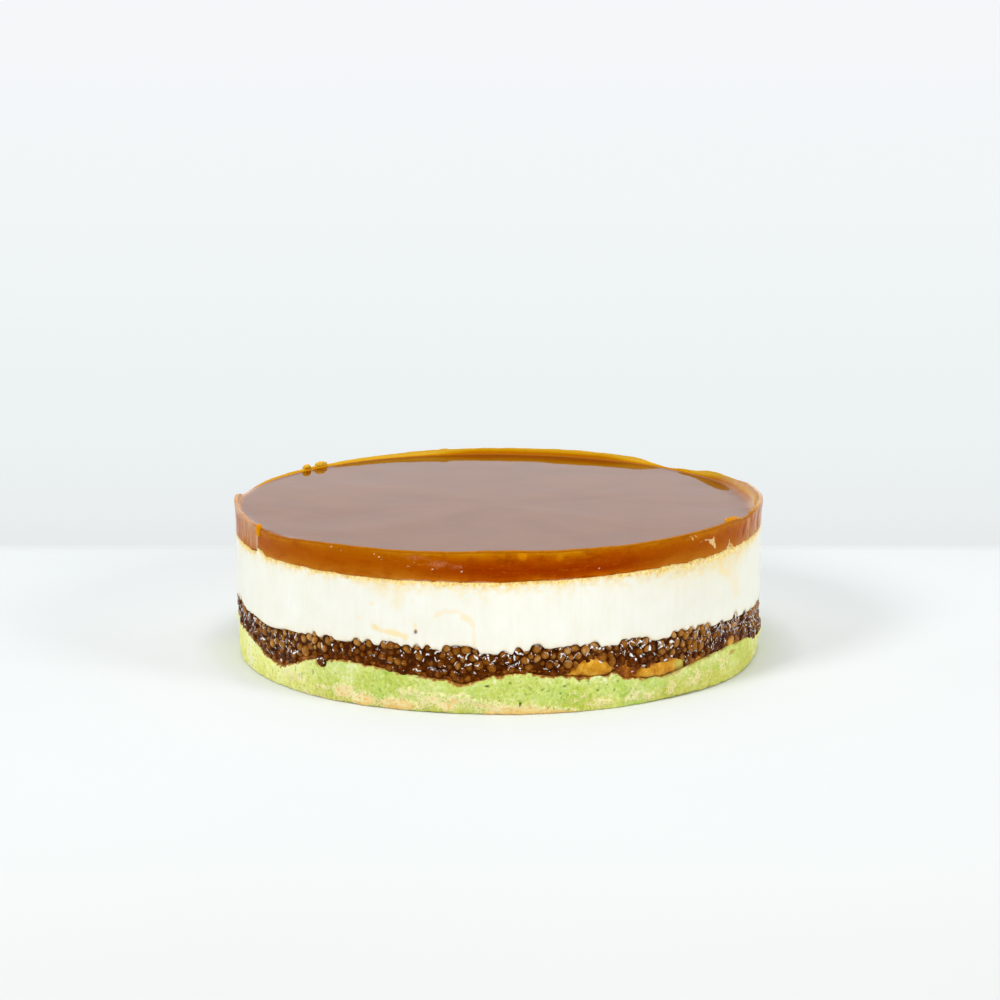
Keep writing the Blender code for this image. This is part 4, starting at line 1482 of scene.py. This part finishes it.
def strokes_on(az, z, table, wobble):
    """How strongly each place of the caramel's side lies on one of the scratches."""
    total = np.zeros(z.shape)
    for path, wide, strength in table:
        middle = path[0][0]
        x = np.radians(off(az, middle)) * RADIUS + 0 * z
        nearest = np.full(z.shape, 99.0)
        for (a0, h0), (a1, h1) in zip(path, path[1:]):
            x0, x1 = (math.radians(off(a, middle)) * RADIUS for a in (a0, a1))
            dx, dz = x1 - x0, h1 - h0
            t = np.clip(((x - x0) * dx + (z - h0) * dz) / (dx * dx + dz * dz), 0, 1)
            nearest = np.minimum(nearest, np.hypot(x - x0 - t * dx, z - h0 - t * dz))
        total = np.maximum(total, strength * smooth(1.7, 0.3, nearest / wide + 0.5 * wobble))
    return total


# ---------------------------------------------------------------- the caramel
def build_caramel():
    n = 1300
    az = np.linspace(-180.0, 180.0, n, endpoint=False)
    wall = round_points(az, RADIUS, 0.0)
    bite = 0.09 * value(wall, 5.0, 401) + 0.05 * value(wall, 1.8, 402)
    rim = rim_top(az) + bite + waves(az, ((59.0, 4.0, -0.9), (66.0, 4.0, -0.35), (127.5, 5.0, -1.15), (111.0, 6.0, -0.4)))
    rim = rim + window(az, 66.0, 112.0, 5.0) * 0.22 * layers(wall, 2.6, 403, 2)
    rim = rim + 0.25 * window(az, -168.0, -166.2, 0.5)
    # a strip of skin that stands on the rim at the right, with a sharp left end
    flap = (0.9 + 0.35 * smooth(64.0, 58.0, az)) * smooth(56.9, 57.3, az) * smooth(66.5, 61.0, az)
    face_at = lambda r: FACE + lean(az, r, FACE_LEAN)

    def ripple(r):
        spot = round_points(az, r, 0.0)
        return 0.05 * value(spot, 26.0, 411) + 0.02 * value(spot, 11.0, 412)

    lip_in = RADIUS - 0.85
    radii = [12, 30, 46, 58, 66, 72, 76, 79, 81, 82.5, 83.6, 84.4, 85.1, 85.7, 86.15, 86.5, 86.8]
    radii += [87.05, 87.3, 87.5, 87.68, 87.83, 87.95, 88.04]
    face_rows, heights = [], []
    fade = 0.62 + 0.16 * value(wall + 31.0, 12.0, 421)
    fade = fade - 0.22 * window(az, -82.0, -25.0, 8.0) + 0.8 * window(az, 84.0, 112.0, 7.0)
    # at the back left the thin rim is golden although it is low
    low_rim = 1.5 * window(az, -168.0, -93.0, 8.0) + 1.1 * window(az, 122.0, 150.0, 6.0)
    for r in radii:
        inside = max(0.0, lip_in - r)
        level = face_at(r) + (rim - face_at(r)) * np.exp(-inside / fade)
        level = level + ripple(r) * (1.0 - math.exp(-inside / 2.0))
        level = level + flap * math.exp(-((max(0.0, 88.0 - r) / 0.35) ** 2))
        face_rows.append(round_points(az, r, level))
        heights.append(level - face_at(r) + low_rim * smooth(86.6, 87.5, r))
    # the lip, rounded over to the outside
    bulge = 0.35 * window(az, -97.0, -85.0, 3.0) + 0.3 * window(az, 72.0, 108.0, 6.0)
    lip_out = 0.2 + bulge + 0.08 * value(wall, 6.0, 431)
    drop_low = 0.5
    lip_rows, lip_heights = [], []
    turns = np.linspace(0.0, 1.0, 9)
    for t in turns:
        angle = t * math.pi / 2
        r = lip_in + (RADIUS + lip_out - lip_in) * math.sin(angle) ** 0.9
        level = rim - drop_low * (1.0 - math.cos(angle)) + flap * max(0.0, 1.0 - 1.6 * t) ** 1.2
        lip_rows.append(round_points(az, r, level))
        lip_heights.append(level - face_at(RADIUS) + low_rim)
    # the side
    m = 34
    share = np.linspace(1.0, 0.0, m + 1)[1:, None]
    low = caramel_foot(az)
    high = rim - drop_low
    z = low + (high - low) * share
    base = round_points(az + 0 * z, RADIUS, z)
    level_share = (z - low) / (rim - low)
    out = lip_out * smooth(0.25, 1.0, level_share) ** 1.6
    relief = 0.06 * layers(base, 7.0, 451, 2) + 0.025 * layers(base * (1, 1, 0.5), 1.8, 452, 2)
    relief = relief + window(az, 58.0, 112.0, 6.0) * 0.14 * layers(base * (1, 1, 0.6), 3.0, 453, 3, 0.6)
    seam = off(az, -62.9)
    recess = 0.45 * smooth(0.3, -0.2, seam) * smooth(-22.0, -4.0, seam)
    ridge = 0.28 * np.exp(-(((seam + 0.7) / 0.35) ** 2)) + 0 * z
    folds = 0.16 * window(az, -80.0, -64.0, 3.0) * layers(base * (1.0, 1.0, 0.12), 1.3, 455, 2)
    # Painted shade: the slit at the seam and the upright groove at the right are painted dark.
    slit = np.exp(-(((z - low - 0.1) / 0.5) ** 2)) * window(az, -66.4, -60.2, 0.8)
    streak = 0.55 * np.exp(-((off(az, 64.8) / 0.36) ** 2)) * window(z, 47.4, 50.0, 0.8)
    wobble = value(base, 0.8, 461) + 0.6 * value(base, 0.45, 462)
    nick = strokes_on(az, z, SCRATCHES, 0.7 * wobble)
    painted_glint = np.zeros_like(z)
    for centre, height, size in PAINTED_GLINTS:
        reach = np.hypot(np.radians(off(az, centre)) * RADIUS, z - height) / size
        painted_glint = np.maximum(painted_glint, smooth(1.5, 0.6, reach))
    # Painted sheen: pale hazy patches painted where the side reflects light.
    haze = 0.75 * spots(az, z, ((-12.4, 49.0, 2.6, 1.6, 1.2), (-8.6, 48.4, 2.0, 1.0, 0.8), (-17.0, 50.8, 3.0, 1.0, 0.7), (148.0, 49.0, 4.0, 1.6, 1.0)))
    haze = np.clip(haze + 0.25 * wobble, 0, 1) * (haze > -0.4)
    milky = window(az, 66.5, 114.0, 5.5) * np.clip(0.55 + 0.6 * layers(base * (1, 1, 0.55), 3.4, 454, 3, 0.6), 0, 1)
    milky = milky + 0.4 * window(az, -118.0, -92.0, 6.0) * np.clip(0.4 + 0.6 * layers(base * (1, 1, 0.5), 3.4, 454, 3), 0, 1)
    gold = np.clip(spots(az, z, ((4.9, 52.4, 1.3, 2.2, 1.5), (12.6, 51.4, 1.2, 1.8, 0.6), (-140.0, 51.0, 1.4, 2.0, 1.2))), 0, 1)
    gold = np.maximum(gold, 0.3 * smooth(0.62, 0.95, level_share) * window(az, 41.0, 62.0, 5.0) * (0.8 + 0.6 * value(base, 2.0, 473)))
    gold = np.clip(gold, 0, 1)
    # Painted highlight: a pale line where the bevelled lower edge catches the light.
    bevel_highlight = smooth(0.5, 0.15, z - low) * (0.8 * window(az, -20.0, -2.0, 2.0) + 0.5 * window(az, 10.0, 16.0, 2.0))
    bevel_highlight = bevel_highlight * np.clip(0.6 + 0.9 * value(wall, 2.6, 463), 0, 1)
    edge_low = 0.22 * np.clip(1.0 - (z - low) / 0.3, 0, 1) ** 2
    radius = RADIUS + out + relief - recess + ridge + folds - 0.5 * slit - 0.25 * streak - 0.1 * nick - edge_low
    side = round_points(az + 0 * z, radius, z)
    under = [round_points(az, r, mousse_top(az, r) + 0.15) for r in (86.0, 70.0, 30.0)]
    rows = np.concatenate([np.stack(face_rows), np.stack(lip_rows), side, np.stack(under)])

    top_rows = len(face_rows) + len(lip_rows)
    deep = window(az, -14.0, 34.0, 12.0) + window(az, 100.0, 150.0, 12.0) + window(az, -150.0, -104.0, 12.0)
    deep = np.clip(deep, 0, 1)
    height = np.concatenate([np.stack(heights), np.stack(lip_heights), z - face_at(RADIUS), np.zeros((3, n))])
    lip_side = np.clip((turns - 0.35) / 0.65, 0, 1)
    is_side = np.concatenate([np.zeros((len(face_rows), n)), lip_side[:, None] + np.zeros(n), np.ones((m, n)), np.ones((3, n))])
    up = np.concatenate([np.ones((top_rows, n)), level_share, np.zeros((3, n))])
    zero_top, zero_low = np.zeros((top_rows, n)), np.zeros((3, n))
    around = lambda part: np.concatenate([zero_top, part + 0 * z, zero_low])
    band = layers(base * (1.0, 1.0, 3.0), 12.0, 471, 3, 0.55)
    flap_share = np.zeros((len(rows), n))
    flap_share[len(face_rows) - 5 : len(face_rows) + 4] = np.clip(flap, 0, 1)
    lips = np.zeros((len(rows), n))
    lips[: len(face_rows)] = smooth(86.9, 87.6, np.array(radii, float))[:, None]
    lips[len(face_rows) : top_rows] = 1.0
    lips[top_rows : top_rows + m] = smooth(0.72, 0.97, level_share)
    peach = lips * (window(az, 74.0, 114.0, 7.0) + window(az, -106.0, -64.5, 3.0))
    plain = lips * window(az, -63.0, 74.0, 6.0)
    plain[top_rows : top_rows + m] *= 0.0
    attributes = {
        "height": height,
        "side": is_side,
        "peach": peach,
        "plain": plain,
        "up": up,
        "band": around(band),
        "nick": around(nick),
        "painted_glint": around(painted_glint),
        "haze": around(haze),
        "cloudy": around(milky),
        "gold": np.maximum(around(gold), flap_share),
        "bevel_highlight": around(bevel_highlight),
        "slit": around(np.clip(slit + 0.8 * streak, 0, 1)),
        "past": around(recess / 0.45),
        # painted highlight along the ridge beside the seam
        "ridge": around(np.exp(-(((seam + 0.7) / 0.4) ** 2)) * smooth(50.2, 49.2, z)),
        "deep": around(deep),
    }
    sections = (
        (0, top_rows - 8, "disc", (0.002, 0.442, 0.558, 0.998), 1),
        (top_rows - 8, top_rows + m, "strip", (0.0, 0.0, 1.0, 0.43), 4),
        (top_rows + m, len(rows) - 1, "disc", (0.7, 0.7, 0.98, 0.98), 1),
    )
    obj = closed_shell(
        "caramel", rows, attributes, sections, (0, 0, FACE), (0, 0, MOUSSE_TOP + 0.15)
    )
    obj.data.materials.append(caramel_paint("palm_sugar_caramel", True))
    obj.data.materials.append(caramel_paint("palm_sugar_caramel_side", False))
    first_side = next(k for k, r in enumerate(radii) if r >= 87.0)
    rows_of = np.arange((len(rows) - 1) * n) // n
    slots = np.concatenate([(rows_of >= first_side).astype(np.int32), np.zeros(n, np.int32), np.ones(n, np.int32)])
    obj.data.polygons.foreach_set("material_index", slots)
    return obj


def caramel_paint(name, mirror):
    """The caramel: its mirror-like face, or its duller rim and side."""
    p = Paint(name, 0.07)
    cloud = p.noise(16.0, 2.0, 0.5)
    fine = p.noise(1.6, 3.0, 0.6)
    grain = p.noise(0.5, 2.0, 0.6)
    level = p.noise(1.3, 3.0, 0.6, p.stretched((0.22, 0.22, 1.6)))
    patch = p.noise(4.5, 3.0, 0.6, p.stretched((0.7, 0.7, 1.4)))
    upright = p.noise(1.1, 2.0, 0.6, p.stretched((1.0, 1.0, 0.16)))
    # the side: light at the thin lip, deep amber lower down, lighter again on the mousse
    up = p.math("ADD", p.attribute("up"), p.math("MULTIPLY", p.attribute("band"), 0.08))
    up = p.math("ADD", up, p.math("MULTIPLY_ADD", fine, 0.08, -0.04), clamp=True)
    thinner = p.ramp(
        up,
        (
            (0.0, srgb(190, 122, 34)),
            (0.08, srgb(184, 108, 22)),
            (0.25, srgb(178, 96, 10)),
            (0.4, srgb(172, 86, 2)),
            (0.55, srgb(171, 83, 0)),
            (0.7, srgb(174, 88, 0)),
            (0.85, srgb(180, 98, 2)),
            (0.95, srgb(187, 112, 8)),
            (1.0, srgb(196, 128, 22)),
        ),
    )
    darker = p.ramp(
        up,
        (
            (0.0, srgb(186, 98, 6)),
            (0.09, srgb(177, 80, 0)),
            (0.22, srgb(155, 56, 0)),
            (0.375, srgb(147, 48, 0)),
            (0.53, srgb(160, 62, 0)),
            (0.69, srgb(169, 74, 0)),
            (0.84, srgb(183, 97, 0)),
            (0.94, srgb(193, 115, 2)),
            (1.0, srgb(202, 134, 16)),
        ),
    )
    side = p.mix(p.attribute("deep"), thinner, darker)
    # streaks and clouds in it
    dark_much = p.ramp(p.total(patch, (level, 0.9), (grain, 0.25)), ((0.5, 0.0), (0.72, 0.55)))
    side = p.mix(dark_much, side, p.mix(p.attribute("deep"), srgb(156, 66, 0), srgb(126, 36, 0)))
    light_much = p.ramp(p.total(level, (grain, 0.5), (fine, 0.5)), ((0.56, 0.0), (0.78, 0.4)))
    side = p.mix(light_much, side, srgb(196, 112, 18))
    # painted sheen: the pale hazy patches
    side = p.mix(p.attribute("haze"), side, p.ramp(grain, ((0.35, srgb(170, 78, 20)), (0.65, srgb(202, 128, 84)))))
    side = p.mix(p.math("MULTIPLY", p.attribute("cloudy"), 0.8), side, p.ramp(fine, ((0.35, srgb(196, 140, 86)), (0.65, srgb(212, 166, 122)))))
    # the skin left of the seam: milky, with upright streaks
    milky = p.ramp(
        p.total(upright, (grain, 0.3), (fine, 0.4)),
        ((0.3, srgb(190, 122, 66)), (0.5, srgb(195, 138, 96)), (0.75, srgb(204, 158, 124))),
    )
    burnt = p.ramp(p.total(p.attribute("up"), (fine, 0.25), (upright, 0.3)), ((0.1, 0.95), (0.36, 0.0)))
    milky = p.mix(burnt, milky, srgb(180, 104, 18))
    side = p.mix(p.math("MULTIPLY", p.attribute("past"), 0.85), side, milky)
    # painted highlight: the ridge beside the seam is painted pale
    side = p.mix(p.math("MULTIPLY", p.attribute("ridge"), 0.75), side, srgb(226, 186, 150))
    # the face: dark where it is deep, gold where it thins out up the rim
    body = p.ramp(cloud, ((0.35, srgb(112, 52, 2)), (0.65, srgb(121, 59, 2))))
    high = p.math("MULTIPLY", p.attribute("height"), 1.0 / 2.6)
    gold = p.ramp(
        p.total(high, (fine, 0.12)),
        (
            (0.05, srgb(150, 82, 0)),
            (0.2, srgb(167, 96, 0)),
            (0.36, srgb(170, 96, 0)),
            (0.5, srgb(186, 119, 0)),
            (0.64, srgb(199, 141, 8)),
            (0.785, srgb(211, 160, 28)),
            (0.92, srgb(219, 172, 52)),
        ),
    )
    wall = p.mix(p.ramp(high, ((0.0, 0.0), (0.08, 0.5), (0.18, 1.0))), body, gold)
    colour = p.mix(p.attribute("side"), wall, side)
    colour = p.mix(p.math("MULTIPLY", p.attribute("peach"), 0.85), colour, p.ramp(fine, ((0.35, srgb(196, 142, 100)), (0.65, srgb(209, 163, 128)))))
    colour = p.mix(p.math("MULTIPLY", p.attribute("plain"), 0.88), colour, p.ramp(fine, ((0.35, srgb(152, 80, 0)), (0.65, srgb(167, 95, 2)))))
    colour = p.mix(p.attribute("gold"), colour, p.ramp(fine, ((0.4, srgb(206, 126, 4)), (0.6, srgb(222, 146, 12)))))
    # painted highlight on the bevelled lower edge
    colour = p.mix(p.attribute("bevel_highlight"), colour, srgb(222, 172, 140))
    flake = p.ramp(p.total(p.attribute("nick"), (grain, 1.1), (fine, 0.5)), ((0.4, 0.0), (0.75, 1.0)))
    colour = p.mix(flake, colour, p.ramp(grain, ((0.35, srgb(216, 164, 84)), (0.6, srgb(238, 208, 150)))))
    # painted shade in the slit and the groove
    colour = p.mix(p.attribute("slit"), colour, srgb(92, 34, 0))
    # painted highlights: the tiny glints
    colour = p.mix(p.attribute("painted_glint"), colour, srgb(255, 240, 214))
    p.to("Base Color", colour)
    rough = p.math("MULTIPLY_ADD", fine, 0.05, 0.02 if mirror else 0.14)
    rough = p.math("ADD", rough, p.math("MULTIPLY", flake, 0.4))
    p.to("Roughness", rough)
    p.shader.inputs["IOR"].default_value = 1.45
    p.shader.inputs["Specular IOR Level"].default_value = 0.5 if mirror else 0.04
    p.shader.inputs["Specular Tint"].default_value = (1.0, 0.45, 0.03, 1.0)
    p.bump(p.math("ADD", fine, p.math("MULTIPLY", cloud, 2.0)), 0.02 if mirror else 0.06, 0.5)
    return p.mat


# Knobs on the rim: (azimuth, how far inside mm, how far below the lip mm, half sizes along, across
# and up, how boxy, how golden)
LUMPS = (
    (-129.7, 0.75, -0.2, 2.0, 1.1, 1.3, 0.0, 2.2),
    (-129.4, 1.7, 1.6, 1.7, 0.9, 1.5, 0.0, 1.1),
    (-134.3, 0.8, -0.25, 2.7, 1.1, 1.2, 0.0, 2.4),
    (-134.6, 1.75, 1.35, 2.2, 0.9, 1.3, 0.0, 1.1),
    (-132.0, 1.0, 0.4, 1.9, 0.7, 0.7, 0.0, 1.9),
    (-62.3, 0.4, 0.9, 1.6, 1.05, 2.1, 0.5, 1.7),
)


def build_lumps():
    local, quads, tris = unit_sphere(48, 32)
    points, all_quads, all_tris, high, amber = [], [], [], [], []
    start = 0
    for azimuth, inside, below, along, across, up, boxy, gold in LUMPS:
        level = rim_top(np.array([azimuth]))[0] - below
        body = np.sign(local) * np.abs(local) ** (1.0 - 0.5 * boxy)
        az, r, z = bend_round(
            body * (along, across, up), azimuth, RADIUS + 0.2 - inside, level
        )
        spot = round_points(az, r, z)
        knobby = layers(spot, 1.2, 500, 2)
        centre = round_points(np.array([azimuth]), RADIUS - inside, level)[0]
        spot = centre + (spot - centre) * (1.0 + 0.12 * knobby[:, None])
        points.append(spot)
        all_quads.append(quads + start)
        all_tris.append(tris + start)
        high.append(np.clip(gold + 0.45 * local[:, 2], 0, 2.5))
        amber.append(np.full(len(local), float(boxy > 0)))
        start += len(local)
    high = np.concatenate(high)
    obj = make_mesh(
        "caramel_lumps",
        np.concatenate(points),
        [np.concatenate(all_quads), np.concatenate(all_tris)],
        {"height": high, "side": 0 * high, "up": 0.9 + 0 * high, "gold": np.concatenate(amber)},
    )
    obj.data.materials.append(caramel_paint("palm_sugar_caramel_lump", False))
    return obj


# ---------------------------------------------------------------- floor, world and lights
def build_floor():
    rings = [0.0, 0.15, 0.3, 0.6, 1.2, 2.4, 4.8, 9.6]
    n = 96
    points, quads = [(0.0, 0.0, 0.0)], []
    for r in rings[1:]:
        for j in range(n):
            a = 2 * math.pi * j / n
            points.append((1000 * r * math.cos(a), 1000 * r * math.sin(a), 0.0))
    at = lambda i, j: 1 + i * n + j % n
    tris = np.array([(0, at(0, j), at(0, j + 1)) for j in range(n)])
    for i in range(len(rings) - 2):
        for j in range(n):
            quads.append((at(i, j), at(i + 1, j), at(i + 1, j + 1), at(i, j + 1)))
    floor = make_mesh("floor", np.array(points), [np.array(quads), tris])
    p = Paint("pale_floor", 0.6)
    soft = p.noise(400.0, 2.0, 0.5)
    near = p.ramp(soft, ((0.3, FLOOR_TONE[0]), (0.7, FLOOR_TONE[1])))
    split = p.nodes.new("ShaderNodeSeparateXYZ")
    p.links.new(p.place, split.inputs[0])
    dim = p.ramp(
        p.math("MULTIPLY_ADD", split.outputs["Y"], 1.0, 0.6),
        ((0.0, (0.764, 0.75, 0.734, 1.0)), (0.27, (0.822, 0.808, 0.794, 1.0)), (0.43, 0.87), (0.5, 0.9), (0.58, 0.915), (0.63, 0.955), (0.7, 0.98)),
    )
    near = p.mix(1.0, near, dim, "MULTIPLY")
    far = p.ramp(p.math("MULTIPLY", split.outputs["Y"], 0.4), BACK_TONES)
    far = p.mix(p.ramp(soft, ((0.3, 0.0), (0.7, 0.02))), far, (1.0, 1.0, 1.0, 1.0))
    behind = p.ramp(p.math("MULTIPLY_ADD", split.outputs["Y"], 10.0, -1.0), ((0.46, 0.0), (0.58, 1.0)))
    p.to("Base Color", p.mix(behind, near, (0.0, 0.0, 0.0, 1.0)))
    p.to("Emission Color", p.mix(behind, (0.0, 0.0, 0.0, 1.0), far))
    p.shader.inputs["Emission Strength"].default_value = 1.0
    p.shader.inputs["Specular IOR Level"].default_value = 0.0
    floor.data.materials.append(p.mat)
    return floor


FLOOR_TONE = (srgb(229, 232, 232), srgb(232, 235, 235))


# The far part of the floor by distance, brighter further off
BACK_TONES = (
    (0.064, srgb(231, 235, 235)),
    (0.084, srgb(234, 238, 239)),
    (0.137, srgb(236, 241, 242)),
    (0.24, srgb(238, 243, 243)),
    (0.476, srgb(242, 246, 247)),
    (0.936, srgb(245, 247, 249)),
)


def build_world():
    world = bpy.data.worlds.new("studio")
    bpy.context.scene.world = world
    world.use_nodes = True
    nodes, links = world.node_tree.nodes, world.node_tree.links
    back = nodes["Background"]
    place = nodes.new("ShaderNodeTexCoord").outputs["Generated"]
    split = nodes.new("ShaderNodeSeparateXYZ")
    links.new(place, split.inputs[0])
    ramp = nodes.new("ShaderNodeValToRGB")
    turn = nodes.new("ShaderNodeMath")
    turn.operation = "MULTIPLY_ADD"
    turn.inputs[1].default_value = 0.5
    turn.inputs[2].default_value = 0.5
    links.new(split.outputs["Y"], turn.inputs[0])
    links.new(turn.outputs[0], ramp.inputs["Fac"])
    ramp.color_ramp.interpolation = "EASE"
    points = ramp.color_ramp.elements
    points.new(0.5)
    for point, (at, grey) in zip(points, ((0.2, WORLD_FRONT), (0.5, WORLD_SIDE), (0.72, WORLD_BACK))):
        point.position = at
        point.color = (grey * 0.955, grey * 0.99, grey, 1.0)
    high = nodes.new("ShaderNodeValToRGB")
    lift = nodes.new("ShaderNodeMath")
    lift.operation = "MULTIPLY_ADD"
    lift.inputs[1].default_value = 0.5
    lift.inputs[2].default_value = 0.5
    links.new(split.outputs["Z"], lift.inputs[0])
    links.new(lift.outputs[0], high.inputs["Fac"])
    points = high.color_ramp.elements
    points.new(0.7)
    for point, (at, grey) in zip(points, ((0.593, 0.98), (0.6175, 0.815), (0.7, 0.75))):
        point.position = at
        point.color = (grey, grey, grey, 1.0)
    both = nodes.new("ShaderNodeMix")
    both.data_type = "RGBA"
    both.blend_type = "MULTIPLY"
    both.inputs[0].default_value = 1.0
    links.new(ramp.outputs["Color"], both.inputs[6])
    links.new(high.outputs["Color"], both.inputs[7])
    links.new(both.outputs[2], back.inputs["Color"])
    back.inputs["Strength"].default_value = 1.0


WORLD_FRONT, WORLD_SIDE, WORLD_BACK = 0.12, 0.5, 1.0


def softbox(name, place, wide, tall, watts, colour=(1.0, 1.0, 1.0)):
    light = bpy.data.lights.new(name, "AREA")
    light.shape = "RECTANGLE"
    light.size, light.size_y = wide, tall
    light.energy = watts
    light.color = colour
    obj = bpy.data.objects.new(name, light)
    obj.location = place
    aim = Vector((0.0, 0.0, 0.03)) - Vector(place)
    obj.rotation_euler = aim.to_track_quat("-Z", "Y").to_euler()
    bpy.context.scene.collection.objects.link(obj)
    return obj


# ---------------------------------------------------------------- put together
def main():
    sponge = build_sponge()
    soaked = build_soaked()
    pearls, front = build_pearls()
    syrup = build_syrup(front)
    mousse = build_mousse(front)
    milk_and_highlights = build_milk_and_highlights(front)
    caramel = build_caramel()
    lumps = build_lumps()
    for piece, node, slot in (
        (sponge, "pandan_sponge", "sponge"),
        (soaked, None, "sponge"),
        (pearls, "sago_pearls", "pearls"),
        (syrup, "sago_pearls", "pearls"),
        (mousse, "coconut_mousse", "mousse"),
        (milk_and_highlights, None, "mousse"),
        (caramel, "caramel_top", "caramel"),
        (lumps, None, "caramel"),
    ):
        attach(piece, "root")
        if node:
            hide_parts(node)
        print(piece.name, "triangles", sum(len(p.vertices) - 2 for p in piece.data.polygons))
    build_floor()
    build_world()
    softbox("key", (-0.95, -1.05, 1.0), 0.45, 0.45, 13.5)
    softbox("fill", (1.2, -0.85, 0.7), 0.45, 0.5, 9.3)
    softbox("overhead", (0.0, -0.25, 1.25), 0.6, 0.5, 7.7)


main()
